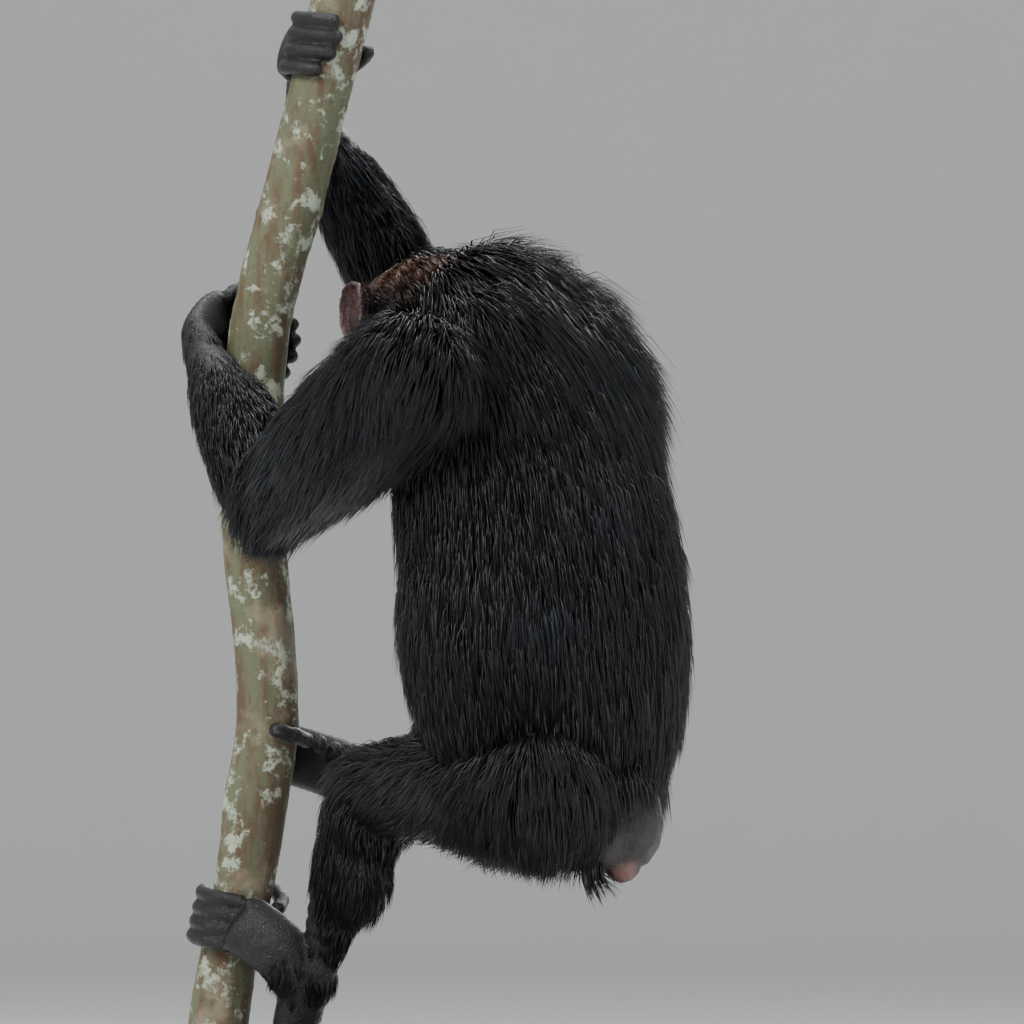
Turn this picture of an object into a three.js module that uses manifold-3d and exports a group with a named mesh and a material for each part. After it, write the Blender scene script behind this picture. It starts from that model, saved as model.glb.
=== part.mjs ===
// A life-size chimpanzee that clings to a cut length of sapling, on a plain display stand.
// Millimetres, +Z up. The origin is the centre of the underside of the stand's base.
// The animal faces left and away, its left side and back towards -Y.
import * as THREE from "three";
import { mergeVertices } from "three/addons/utils/BufferGeometryUtils.js";
import Module from "manifold-3d";

const wasm = await Module();
wasm.setup();

// Driving dimensions
const GAP = 0.35;
const BARK_GAP = 1.2;
const UPPER_ARM = 240;
const FOREARM = 230;
const THIGH = 258;
const SHANK = 230;
const FINGER_RADIUS = 8.2;
const TOE_RADIUS = 7.6;
const BASE_WIDTH = 640;
const BASE_DEPTH = 700;
const BASE_HEIGHT = 26;
const ROD_RADIUS = 16;
const COLLAR_RADIUS = 55;
const COLLAR_HEIGHT = 12;

const vec = (x, y, z) => new THREE.Vector3(x, y, z);
const UP = vec(0, 0, 1);
const WORLD_BASIS = [vec(1, 0, 0), vec(0, 1, 0), UP];
const ARM_SIDE = vec(0.3, 0.9, 0.3);
const LEG_SIDE = vec(0.3, 1, 0.1);

// Places of the joints that carry the pose
const SHOULDER_LEFT = vec(-30, -250, 796);
const SHOULDER_RIGHT = vec(92, 12, 862);
const WRIST_LEFT = vec(-250, 46, 856);
const WRIST_RIGHT = vec(-146, 122, 1106);
const HIP_LEFT = vec(100, -245, 400);
const HIP_RIGHT = vec(150, -92, 410);
const ANKLE_LEFT = vec(-132, 22, 192);
const ANKLE_RIGHT = vec(-62, 112, 398);
const HEAD_CENTRE = vec(-26, -50, 862);

// The middle joint of a limb of two bones, bent towards the pole
function bend(root, tip, upper, lower, pole) {
  const line = tip.clone().sub(root);
  const reach = line.length();
  line.normalize();
  const along = (upper * upper - lower * lower + reach * reach) / (2 * reach);
  const off = Math.sqrt(Math.max(upper * upper - along * along, 0));
  const side = pole.clone().addScaledVector(line, -pole.dot(line)).normalize();
  return root.clone().addScaledVector(line, along).addScaledVector(side, off);
}

const ELBOW_LEFT = bend(SHOULDER_LEFT, WRIST_LEFT, UPPER_ARM, FOREARM, vec(-0.1, 0, -1));
const ELBOW_RIGHT = bend(SHOULDER_RIGHT, WRIST_RIGHT, UPPER_ARM, FOREARM, vec(-0.22, 1, -0.33));
const KNEE_LEFT = bend(HIP_LEFT, ANKLE_LEFT, THIGH, SHANK, vec(-0.35, 0.45, 0.82));
const KNEE_RIGHT = bend(HIP_RIGHT, ANKLE_RIGHT, THIGH, SHANK, vec(0.4, 0.5, 0.77));

// A closed mesh from rings of points, each the same length, capped at both ends
function skinOfRings(rings, startTip, endTip) {
  const around = rings[0].length;
  const corners = [...rings.flat(), startTip, endTip];
  const start = corners.length - 2;
  const end = corners.length - 1;
  const faces = [];
  for (let k = 0; k < around; k += 1) {
    const next = (k + 1) % around;
    faces.push(start, next, k);
    const last = (rings.length - 1) * around;
    faces.push(end, last + k, last + next);
    for (let i = 0; i + 1 < rings.length; i += 1) {
      const low = i * around;
      const high = low + around;
      faces.push(low + k, low + next, high + next, low + k, high + next, high + k);
    }
  }
  const geometry = new THREE.BufferGeometry().setFromPoints(corners);
  geometry.setIndex(faces);
  return geometry;
}

// A geometry as a manifold-3d solid
function solidOf(geometry) {
  const bare = new THREE.BufferGeometry();
  bare.setAttribute("position", geometry.getAttribute("position"));
  bare.setIndex(geometry.index);
  const merged = mergeVertices(bare, 1e-4);
  return new wasm.Manifold(
    new wasm.Mesh({
      numProp: 3,
      vertProperties: new Float32Array(merged.attributes.position.array),
      triVerts: new Uint32Array(merged.index.array),
    }),
  );
}

// A limb's skin: rows of [centre, half-size along side, half-size across], rounded off at its ends
class Limb {
  constructor({ rows, side, around, steps, startCap = 1, endCap = 1, facing = null }) {
    this.centres = new THREE.CatmullRomCurve3(rows.map((row) => row[0]), false, "centripetal");
    this.sizes = new THREE.CatmullRomCurve3(rows.map((row) => vec(row[1], row[2], 0)), false, "catmullrom");
    Object.assign(this, { side, around, steps, startCap, endCap, facing });
  }

  // Centre, tangent, side and across at t, with the half-sizes there
  frame(t) {
    const tangent = this.facing ?? this.centres.getTangent(t).normalize();
    const side = this.side.clone().addScaledVector(tangent, -this.side.dot(tangent)).normalize();
    const across = tangent.clone().cross(side);
    const size = this.sizes.getPoint(t);
    return { centre: this.centres.getPoint(t), tangent, side, across, size };
  }

  // The ring of points at t, shrunk to a share and moved along the limb
  ring(t, share, shift, grow) {
    const f = this.frame(t);
    return Array.from({ length: this.around }, (_, k) => {
      const angle = (k / this.around) * 2 * Math.PI;
      return f.centre
        .clone()
        .addScaledVector(f.tangent, shift)
        .addScaledVector(f.side, (f.size.x + grow) * share * Math.cos(angle))
        .addScaledVector(f.across, (f.size.y + grow) * share * Math.sin(angle));
    });
  }

  solid(grow = 0) {
    const rings = [];
    const depth = (t, cap) => this.frame(t).size.y * cap + grow * 1.5;
    const bulge = [0.9, 0.45];
    const startDepth = depth(0, this.startCap);
    const endDepth = depth(1, this.endCap);
    for (const b of bulge) rings.push(this.ring(0, Math.sqrt(1 - b * b), -startDepth * b, grow));
    for (let i = 0; i <= this.steps; i += 1) rings.push(this.ring(i / this.steps, 1, 0, grow));
    for (const b of [...bulge].reverse()) rings.push(this.ring(1, Math.sqrt(1 - b * b), endDepth * b, grow));
    const first = this.frame(0);
    const last = this.frame(1);
    const startTip = first.centre.clone().addScaledVector(first.tangent, -startDepth);
    const endTip = last.centre.clone().addScaledVector(last.tangent, endDepth);
    return solidOf(skinOfRings(rings, startTip, endTip));
  }
}

// An ellipsoid, its half-sizes along the columns of a basis
function ellipsoid(centre, radii, basis, detail, grow = 0) {
  const geometry = new THREE.SphereGeometry(1, detail, Math.round(detail * 0.6));
  geometry.deleteAttribute("normal");
  geometry.deleteAttribute("uv");
  const placed = new THREE.Matrix4()
    .makeBasis(
      basis[0].clone().multiplyScalar(radii[0] + grow),
      basis[1].clone().multiplyScalar(radii[1] + grow),
      basis[2].clone().multiplyScalar(radii[2] + grow),
    )
    .setPosition(centre);
  geometry.applyMatrix4(placed);
  return solidOf(geometry);
}

const union = (solids) => wasm.Manifold.union(solids);

// The sapling: a gently bent trunk, its centre at heights from its cut foot to its cut top
const PERCH_Y = 65;
const PERCH_RADIUS = 33;
const PERCH_ROWS = [
  [112, -234, 0, 34],
  [224, -219, 2, 31],
  [314, -199, 0, 33],
  [384, -190, -2, 35],
  [449, -178, 0, 34],
  [534, -180, 2, 33],
  [624, -191, 1, 34],
  [704, -195, -1, 34],
  [784, -194, 0, 33],
  [884, -184, 2, 33],
  [984, -157, 0, 35],
  [1084, -133, -2, 34],
  [1164, -113, 0, 35],
  [1262, -89, 0, 36],
];
const perchCurve = new THREE.CatmullRomCurve3(
  PERCH_ROWS.map(([z, x, y]) => vec(x, PERCH_Y + y, z)),
  false,
  "catmullrom",
);

// The trunk's centre at a height
function perchAt(z) {
  const rows = PERCH_ROWS;
  const i = Math.min(Math.max(rows.findIndex((row) => row[0] > z) - 1, 0), rows.length - 2);
  const share = (z - rows[i][0]) / (rows[i + 1][0] - rows[i][0]);
  return perchCurve.getPoint((i + share) / (rows.length - 1));
}

function buildPerch(grow = 0) {
  const around = 16;
  const steps = 22;
  const bumps = 0.9;
  const rings = [];
  for (let i = 0; i <= steps; i += 1) {
    const t = i / steps;
    const centre = perchCurve.getPoint(t);
    const row = t * (PERCH_ROWS.length - 1);
    const low = Math.min(Math.floor(row), PERCH_ROWS.length - 2);
    const radius = THREE.MathUtils.lerp(PERCH_ROWS[low][3], PERCH_ROWS[low + 1][3], row - low) - 1;
    rings.push(
      Array.from({ length: around }, (_, k) => {
        const angle = (k / around) * 2 * Math.PI;
        const wave = bumps * Math.sin(3 * angle + i * 0.7) + grow;
        return centre.clone().add(vec(Math.cos(angle), Math.sin(angle), 0).multiplyScalar(radius + wave));
      }),
    );
  }
  const foot = PERCH_ROWS[0];
  const top = PERCH_ROWS[PERCH_ROWS.length - 1];
  return solidOf(
    skinOfRings(rings, vec(foot[1], PERCH_Y + foot[2], foot[0]), vec(top[1], PERCH_Y + top[2], top[0])),
  );
}

// A digit that curls round the trunk from one angle to another, in degrees, as it climbs
function digit({ root, from, to, zFrom, zTo, radius, taper = 0.82 }) {
  const steps = 6;
  const rows = root.map((point, i) => [point, radius * (1.12 - 0.06 * i), radius * 1.05]);
  for (let i = 0; i <= steps; i += 1) {
    const share = i / steps;
    const angle = THREE.MathUtils.degToRad(THREE.MathUtils.lerp(from, to, share));
    const z = THREE.MathUtils.lerp(zFrom, zTo, share);
    const knuckle = 1 + 0.1 * Math.cos(share * 3 * Math.PI);
    const r = radius * THREE.MathUtils.lerp(1, taper, share) * knuckle;
    const out = PERCH_RADIUS + 2.4 + BARK_GAP + r;
    rows.push([perchAt(z).add(vec(out * Math.cos(angle), out * Math.sin(angle), 0)), r, r]);
  }
  return new Limb({ rows, side: UP, around: 6, steps: 5, startCap: 0.6, endCap: 1 });
}

// A point beside the trunk, at an angle in degrees and a distance from its centre line
function besidePerch(z, angle, distance) {
  const a = THREE.MathUtils.degToRad(angle);
  return perchAt(z).add(vec(distance * Math.cos(a), distance * Math.sin(a), 0));
}

// A hand: a palm from the wrist to the knuckles, four fingers in a stack and a thumb
function handShapes({ wrist, forward, knuckle, palmMid, fingers, thumb, palmSide }) {
  const palm = new Limb({
    rows: [
      [wrist.clone().addScaledVector(forward, -18), 25, 19],
      [wrist, 26, 18],
      [palmMid, 34, 15],
      [knuckle, 34, 12],
    ],
    side: palmSide,
    around: 12,
    steps: 6,
    startCap: 0.3,
    endCap: 0.7,
  });
  return [palm, ...fingers.map(digit), digit(thumb)];
}

const FINGER_PITCH = 17;
const FINGER_LENGTHS = [0.93, 1.03, 1, 0.86];

function leftHandShapes() {
  const z = 868;
  return handShapes({
    wrist: WRIST_LEFT,
    forward: WRIST_LEFT.clone().sub(ELBOW_LEFT).normalize(),
    palmMid: besidePerch(z + 6, 172, 50),
    knuckle: besidePerch(z + 8, 140, 49),
    palmSide: UP,
    fingers: FINGER_LENGTHS.map((share, i) => ({
      root: [besidePerch(z + 30 - i * FINGER_PITCH, 158, 48)],
      from: 132,
      to: 132 - 98 * share,
      zFrom: z + 30 - i * FINGER_PITCH,
      zTo: z + 6 - i * (FINGER_PITCH - 0.5),
      radius: FINGER_RADIUS,
    })),
    thumb: {
      root: [besidePerch(z + 14, 178, 50)],
      from: 160,
      to: 108,
      zFrom: z + 38,
      zTo: z + 50,
      radius: FINGER_RADIUS * 0.9,
    },
  });
}

function rightHandShapes() {
  const z = 1146;
  return handShapes({
    wrist: WRIST_RIGHT,
    forward: WRIST_RIGHT.clone().sub(ELBOW_RIGHT).normalize(),
    palmMid: besidePerch(z, 122, 50),
    knuckle: besidePerch(z + 14, 152, 49),
    palmSide: UP,
    fingers: FINGER_LENGTHS.map((share, i) => ({
      root: [besidePerch(z + 44 - i * FINGER_PITCH, 140, 48)],
      from: 162,
      to: 170 + 106 * share,
      zFrom: z + 44 - i * FINGER_PITCH,
      zTo: z + 34 - i * (FINGER_PITCH - 0.5),
      radius: FINGER_RADIUS,
    })),
    thumb: {
      root: [besidePerch(z - 16, 100, 50)],
      from: 78,
      to: 14,
      zFrom: z - 14,
      zTo: z + 8,
      radius: FINGER_RADIUS * 0.95,
    },
  });
}

// A foot: a sole from heel to ball, four toes in a stack and a great toe that grips the other way
function footShapes({ heel, ankle, mid, ball, side, toes, greatToe }) {
  const sole = new Limb({
    rows: [
      [heel, 24, 24],
      [ankle, 27, 29],
      [mid, 33, 27],
      [ball, 33, 15],
    ],
    side,
    around: 12,
    steps: 7,
    startCap: 0.8,
    endCap: 0.7,
  });
  return [sole, ...toes.map(digit), digit(greatToe)];
}

const TOE_PITCH = 15;
const TOE_LENGTHS = [1, 1.04, 0.96, 0.84];

function leftFootShapes() {
  const z = 258;
  return footShapes({
    heel: vec(-149, 36, 156),
    ankle: vec(-141, 22, 196),
    mid: vec(-164, 8, 232),
    ball: besidePerch(z, 284, 50),
    side: vec(0.75, 0.1, 1),
    toes: TOE_LENGTHS.map((share, i) => ({
      root: [besidePerch(z + 20 - i * TOE_PITCH, 286, 50)],
      from: 268,
      to: 262 - 88 * share,
      zFrom: z + 24 - i * TOE_PITCH,
      zTo: z + 34 - i * TOE_PITCH,
      radius: TOE_RADIUS,
    })),
    greatToe: {
      root: [besidePerch(z - 6, 312, 54)],
      from: 340,
      to: 420,
      zFrom: z + 14,
      zTo: z + 40,
      radius: TOE_RADIUS * 1.3,
    },
  });
}

function rightFootShapes() {
  const z = 432;
  return footShapes({
    heel: vec(-42, 128, 362),
    ankle: vec(-66, 116, 394),
    mid: vec(-96, 112, 412),
    ball: besidePerch(z, 62, 52),
    side: vec(0.2, -0.2, 1),
    toes: TOE_LENGTHS.map((share, i) => ({
      root: [besidePerch(z + 22 - i * TOE_PITCH, 66, 50)],
      from: 88,
      to: 96 + 36 * share,
      zFrom: z + 24 - i * TOE_PITCH,
      zTo: z + 30 - i * TOE_PITCH,
      radius: TOE_RADIUS,
    })),
    greatToe: {
      root: [vec(-98, 92, 428), besidePerch(z + 8, 8, 60)],
      from: -28,
      to: -78,
      zFrom: z + 14,
      zTo: z + 24,
      radius: TOE_RADIUS * 1.35,
    },
  });
}

// The way to the animal's own left
const LEFTWARD = vec(-0.64, -0.77, 0);

const torsoLimb = new Limb({
  rows: [
    [vec(40, -104, 872), 74, 74],
    [vec(64, -112, 806), 148, 108],
    [vec(84, -126, 716), 150, 130],
    [vec(99, -142, 626), 155, 140],
    [vec(105, -158, 534), 159, 142],
    [vec(116, -170, 450), 132, 122],
    [vec(118, -180, 392), 86, 80],
  ],
  side: LEFTWARD,
  around: 22,
  steps: 12,
  startCap: 0.5,
  endCap: 0.45,
});

// The shoulder blades and the muscle that runs from them down the flank
const SHOULDER_BLADES = [
  [vec(44, -196, 772), [62, 52, 124]],
  [vec(104, -58, 790), [56, 52, 112]],
];
const torsoSolid = (grow) =>
  union([
    torsoLimb.solid(grow),
    ...SHOULDER_BLADES.map(([centre, radii]) => ellipsoid(centre, radii, WORLD_BASIS, 14, grow)),
  ]);

const neckLimb = new Limb({
  rows: [
    [vec(52, -104, 842), 80, 66],
    [vec(18, -84, 858), 70, 62],
    [vec(-24, -60, 862), 58, 54],
  ],
  side: LEFTWARD,
  around: 14,
  steps: 5,
});

const between = (a, b, share) => a.clone().lerp(b, share);

function upperArm(shoulder, elbow) {
  return new Limb({
    rows: [
      [between(shoulder, elbow, -0.1), 62, 66],
      [between(shoulder, elbow, 0.12), 69, 71],
      [between(shoulder, elbow, 0.45), 67, 69],
      [between(shoulder, elbow, 0.85), 55, 56],
      [elbow, 49, 50],
    ],
    side: ARM_SIDE,
    around: 12,
    steps: 7,
    endCap: 0.8,
  });
}

function forearm(elbow, wrist) {
  return new Limb({
    rows: [
      [elbow, 46, 47],
      [between(elbow, wrist, 0.22), 54, 54],
      [between(elbow, wrist, 0.55), 50, 48],
      [between(elbow, wrist, 0.86), 33, 30],
      [between(elbow, wrist, 0.97), 25, 20],
    ],
    side: ARM_SIDE,
    around: 12,
    steps: 8,
    startCap: 0.7,
    endCap: 0.3,
  });
}

function thigh(hip, knee) {
  return new Limb({
    rows: [
      [between(hip, knee, -0.06), 75, 80],
      [between(hip, knee, 0.12), 76, 80],
      [between(hip, knee, 0.5), 62, 66],
      [between(hip, knee, 0.85), 51, 53],
      [knee, 47, 48],
    ],
    side: LEG_SIDE,
    around: 14,
    steps: 7,
    endCap: 0.8,
  });
}

function shank(knee, ankle) {
  return new Limb({
    rows: [
      [knee, 46, 47],
      [between(knee, ankle, 0.25), 46, 50],
      [between(knee, ankle, 0.6), 36, 39],
      [between(knee, ankle, 0.88), 26, 28],
      [between(knee, ankle, 1), 25, 27],
    ],
    side: LEG_SIDE,
    around: 12,
    steps: 8,
    startCap: 0.7,
    endCap: 0.3,
  });
}

// The head in its own frame: x forwards, y to its left, z up, then turned to face away and down
const HEAD_FORWARD = vec(-0.5, 0.8, -0.3).normalize();
const HEAD_LEFT = UP.clone().cross(HEAD_FORWARD).normalize();
const HEAD_UP = HEAD_FORWARD.clone().cross(HEAD_LEFT);
const headMatrix = new THREE.Matrix4().makeBasis(HEAD_FORWARD, HEAD_LEFT, HEAD_UP).setPosition(HEAD_CENTRE);
const headPoint = (x, y, z) => vec(x, y, z).applyMatrix4(headMatrix);
const headWay = (x, y, z) => vec(x, y, z).transformDirection(headMatrix);
const HEAD_BASIS = [HEAD_FORWARD, HEAD_LEFT, HEAD_UP];

// Sections of the skull and muzzle: place forwards, middle height, half-width, half-height
const SKULL_SECTIONS = [
  [-70, 2, 34, 34],
  [-56, 3, 50, 46],
  [-30, 4, 62, 56],
  [0, 0, 65, 61],
  [26, -8, 61, 64],
  [44, -19, 54, 62],
  [58, -33, 46, 50],
  [72, -43, 40, 43],
  [90, -49, 37, 38],
  [104, -52, 33, 34],
  [114, -53, 25, 26],
];
const EYE_X = 49;
const EYE_Y = 19;
const EYE_Z = 10;
const EYE_RADIUS = 11;
const MOUTH_Z = -60;

// The half-width of the muzzle at a place forwards and a height
function muzzleHalfWidth(x, z) {
  const i = Math.min(Math.max(SKULL_SECTIONS.findIndex((s) => s[0] > x) - 1, 0), SKULL_SECTIONS.length - 2);
  const share = (x - SKULL_SECTIONS[i][0]) / (SKULL_SECTIONS[i + 1][0] - SKULL_SECTIONS[i][0]);
  const [, middle, wide, high] = SKULL_SECTIONS[i].map((v, k) =>
    THREE.MathUtils.lerp(v, SKULL_SECTIONS[i + 1][k], share),
  );
  return wide * Math.sqrt(Math.max(1 - ((z - middle) / high) ** 2, 0));
}

// A tube that follows the muzzle's surface from one corner of the mouth round to the other
function mouthTube(z, radius, proud, cornerX, frontX) {
  const rows = [];
  const steps = 6;
  for (let i = -steps; i <= steps; i += 1) {
    const share = Math.abs(i) / steps;
    const x = THREE.MathUtils.lerp(frontX, cornerX, share ** 1.6);
    const y = i === 0 ? 0 : Math.sign(i) * (muzzleHalfWidth(x, z) + proud) * Math.min(1, share * 2.2);
    const droop = 4 * share * share;
    rows.push([headPoint(x + proud * (1 - share), y, z + droop), radius, radius]);
  }
  return new Limb({ rows, side: HEAD_UP, around: 6, steps: 14 });
}

// The left eye for s of 1, the right one for -1
const eyeball = (s, detail, grow = 0) =>
  ellipsoid(headPoint(EYE_X, s * EYE_Y, EYE_Z), [EYE_RADIUS, EYE_RADIUS, EYE_RADIUS], HEAD_BASIS, detail, grow);

function headSolid(grow = 0) {
  const skull = new Limb({
    rows: SKULL_SECTIONS.map(([x, z, wide, high]) => [headPoint(x, 0, z), wide, high]),
    side: HEAD_LEFT,
    facing: HEAD_FORWARD,
    around: 22,
    steps: 14,
    startCap: 0.35,
    endCap: 0.3,
  }).solid(grow);
  const brow = new Limb({
    rows: [
      [headPoint(34, -46, 16), 8, 9],
      [headPoint(52, -32, 26), 9, 9],
      [headPoint(57, -14, 27), 9, 8],
      [headPoint(56, 0, 24), 8, 8],
      [headPoint(57, 14, 27), 9, 8],
      [headPoint(52, 32, 26), 9, 9],
      [headPoint(34, 46, 16), 8, 9],
    ],
    side: HEAD_UP,
    around: 8,
    steps: 12,
  }).solid(grow);
  const parts = [skull, brow];
  parts.push(mouthTube(MOUTH_Z + 8, 7, -1, 74, 116).solid(grow));
  parts.push(mouthTube(MOUTH_Z - 9, 7.5, -2, 72, 113).solid(grow));
  parts.push(ellipsoid(headPoint(84, 0, -15), [20, 15, 9], HEAD_BASIS, 12, grow));
  for (const s of [1, -1]) {
    parts.push(ellipsoid(headPoint(101, s * 8, -23), [8, 8, 7], HEAD_BASIS, 10, grow));
    parts.push(ellipsoid(headPoint(40, s * 38, -12), [24, 18, 20], HEAD_BASIS, 12, grow));
  }
  let solid = union(parts);
  for (const s of [1, -1]) {
    solid = solid.subtract(ellipsoid(headPoint(66, s * (EYE_Y + 1), EYE_Z - 1), [15, 15, 10], HEAD_BASIS, 14));
    solid = solid.subtract(ellipsoid(headPoint(109, s * 8, -24), [5, 4, 3.4], HEAD_BASIS, 8));
  }
  for (const s of [1, -1]) {
    const lids = ellipsoid(headPoint(EYE_X, s * EYE_Y, EYE_Z), [14.5, 15, 14], HEAD_BASIS, 16, grow);
    const opening = ellipsoid(headPoint(EYE_X + 16, s * (EYE_Y + 1), EYE_Z - 0.5), [18, 11, 6], HEAD_BASIS, 16);
    solid = solid.add(lids).subtract(opening);
    solid = solid.subtract(eyeball(s, 16, GAP));
  }
  return solid.subtract(mouthTube(MOUTH_Z, 2, 2.5, 70, 117).solid());
}

// An ear: a cupped shell that stands off the side of the head and opens outwards
function earSolid(s, grow = 0) {
  const opens = headWay(-0.05, s, 0.05);
  const tall = headWay(-0.12, 0, 1);
  const wide = tall.clone().cross(opens).normalize();
  const high = opens.clone().cross(wide).normalize();
  const basis = [wide, high, opens];
  const centre = headPoint(-10, s * 76, 8);
  const shell = ellipsoid(centre, [24, 33, 15], basis, 9, grow);
  const hollow = ellipsoid(centre.clone().addScaledVector(opens, 7), [20.5, 29.5, 16], basis, 9, -grow);
  const front = ellipsoid(centre.clone().addScaledVector(opens, 22), [40, 50, 15], basis, 8, -grow);
  const root = new Limb({
    rows: [
      [headPoint(-6, s * 54, 2), 15, 12],
      [headPoint(-8, s * 74, 2), 16, 9],
    ],
    side: HEAD_UP,
    around: 8,
    steps: 2,
    endCap: 0.6,
  });
  const ridge = new Limb({
    rows: [
      [centre.clone().addScaledVector(high, -20).addScaledVector(opens, -4), 4, 5],
      [centre.clone().addScaledVector(wide, 8).addScaledVector(opens, -4), 4, 5],
      [centre.clone().addScaledVector(high, 17).addScaledVector(opens, -3), 4, 5],
    ],
    side: wide,
    around: 6,
    steps: 5,
  });
  return union([shell.subtract(hollow).subtract(front), root.solid(grow), ridge.solid(grow)]);
}

// Bare skin of the rump: the sitting pads and the folded skin below them
function rumpSolid(grow = 0) {
  const folds = [
    [vec(190, -205, 362), [32, 30, 48]],
    [vec(158, -222, 350), [30, 26, 36]],
    [vec(180, -212, 324), [20, 18, 22]],
  ];
  return union(folds.map(([centre, radii]) => ellipsoid(centre, radii, WORLD_BASIS, 12, grow)));
}

const shapes = (list) => (grow) => union(list.map((limb) => limb.solid(grow)));
const one = (limb) => (grow) => limb.solid(grow);

const FUR = { color: 0x0c0d10, roughness: 0.62 };
const SKIN = { color: 0x2b2a2d, roughness: 0.7 };
const EAR = { color: 0x4a332c, roughness: 0.65 };
const EYE = { color: 0x2a1408, roughness: 0.12 };
const BARK = { color: 0x6d7357, roughness: 0.9 };
const RUMP = { color: 0x6b5a55, roughness: 0.7 };
const STAND = { color: 0x1d1e20, roughness: 0.45 };

const cylinder = (radius, low, high, centre, around) => {
  const geometry = new THREE.CylinderGeometry(radius, radius, high - low, around);
  geometry.rotateX(Math.PI / 2);
  geometry.translate(centre.x, centre.y, (low + high) / 2);
  return solidOf(geometry);
};
const perchFoot = perchAt(PERCH_ROWS[0][0]);

const baseSolid = () => {
  const half = { x: BASE_WIDTH / 2, y: BASE_DEPTH / 2 };
  const corner = 24;
  const outline = new THREE.Shape();
  outline.moveTo(-half.x + corner, -half.y);
  outline.lineTo(half.x - corner, -half.y);
  outline.quadraticCurveTo(half.x, -half.y, half.x, -half.y + corner);
  outline.lineTo(half.x, half.y - corner);
  outline.quadraticCurveTo(half.x, half.y, half.x - corner, half.y);
  outline.lineTo(-half.x + corner, half.y);
  outline.quadraticCurveTo(-half.x, half.y, -half.x, half.y - corner);
  outline.lineTo(-half.x, -half.y + corner);
  outline.quadraticCurveTo(-half.x, -half.y, -half.x + corner, -half.y);
  return solidOf(new THREE.ExtrudeGeometry(outline, { depth: BASE_HEIGHT, bevelEnabled: false, curveSegments: 5 }));
};

// Each node in the order of its claim on shared space: later ones are cut clear of earlier ones
const nodes = [
  ["stand_base", STAND, baseSolid],
  ["stand_collar", STAND, (grow) =>
    cylinder(COLLAR_RADIUS + grow, BASE_HEIGHT + GAP - grow, BASE_HEIGHT + GAP + COLLAR_HEIGHT + grow, perchFoot, 32)],
  ["stand_rod", STAND, (grow) =>
    cylinder(ROD_RADIUS, BASE_HEIGHT + COLLAR_HEIGHT + 2 * GAP - grow, PERCH_ROWS[0][0] - GAP + grow, perchFoot, 24)],
  ["perch_trunk", BARK, buildPerch],
  ["torso", FUR, torsoSolid],
  ["rump_skin", RUMP, rumpSolid],
  ["neck", FUR, one(neckLimb)],
  ["head", SKIN, headSolid],
  ["eye_left", EYE, () => eyeball(1, 12)],
  ["eye_right", EYE, () => eyeball(-1, 12)],
  ["ear_left", EAR, (grow) => earSolid(1, grow)],
  ["ear_right", EAR, (grow) => earSolid(-1, grow)],
  ["upper_arm_left", FUR, one(upperArm(SHOULDER_LEFT, ELBOW_LEFT))],
  ["upper_arm_right", FUR, one(upperArm(SHOULDER_RIGHT, ELBOW_RIGHT))],
  ["forearm_left", FUR, one(forearm(ELBOW_LEFT, WRIST_LEFT))],
  ["forearm_right", FUR, one(forearm(ELBOW_RIGHT, WRIST_RIGHT))],
  ["hand_left", SKIN, shapes(leftHandShapes())],
  ["hand_right", SKIN, shapes(rightHandShapes())],
  ["thigh_left", FUR, one(thigh(HIP_LEFT, KNEE_LEFT))],
  ["thigh_right", FUR, one(thigh(HIP_RIGHT, KNEE_RIGHT))],
  ["shank_left", FUR, one(shank(KNEE_LEFT, ANKLE_LEFT))],
  ["shank_right", FUR, one(shank(KNEE_RIGHT, ANKLE_RIGHT))],
  ["foot_left", SKIN, shapes(leftFootShapes())],
  ["foot_right", SKIN, shapes(rightFootShapes())],
];

// The largest closed surface of a solid
const largest = (solid) =>
  solid.decompose().reduce((best, piece) => (piece.volume() > best.volume() ? piece : best));

function meshOf(name, solid, look) {
  const made = solid.getMesh();
  const corners = new Float32Array(made.numVert * 3);
  for (let i = 0; i < made.numVert; i += 1) {
    corners.set(made.vertProperties.subarray(i * made.numProp, i * made.numProp + 3), i * 3);
  }
  const geometry = new THREE.BufferGeometry();
  geometry.setAttribute("position", new THREE.BufferAttribute(corners, 3));
  geometry.setIndex(new THREE.BufferAttribute(made.triVerts, 1));
  geometry.computeVertexNormals();
  const mesh = new THREE.Mesh(geometry, new THREE.MeshStandardMaterial({ ...look, metalness: 0 }));
  mesh.name = name;
  return mesh;
}

const group = new THREE.Group();
const claimed = [];
for (const [name, look, build] of nodes) {
  let solid = build(0);
  for (const other of claimed) solid = solid.subtract(other);
  group.add(meshOf(name, largest(solid.simplify(0.03)), look));
  claimed.push(build(GAP));
}

export default group;
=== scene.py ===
"""A life-size chimpanzee that clings to a cut length of sapling, dressed for its portrait."""
import logging
import math
from dataclasses import dataclass, field, replace
from enum import Enum
from typing import Callable, Optional, Sequence

import bmesh
import bpy
import numpy as np
from mathutils import Matrix, Vector


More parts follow.
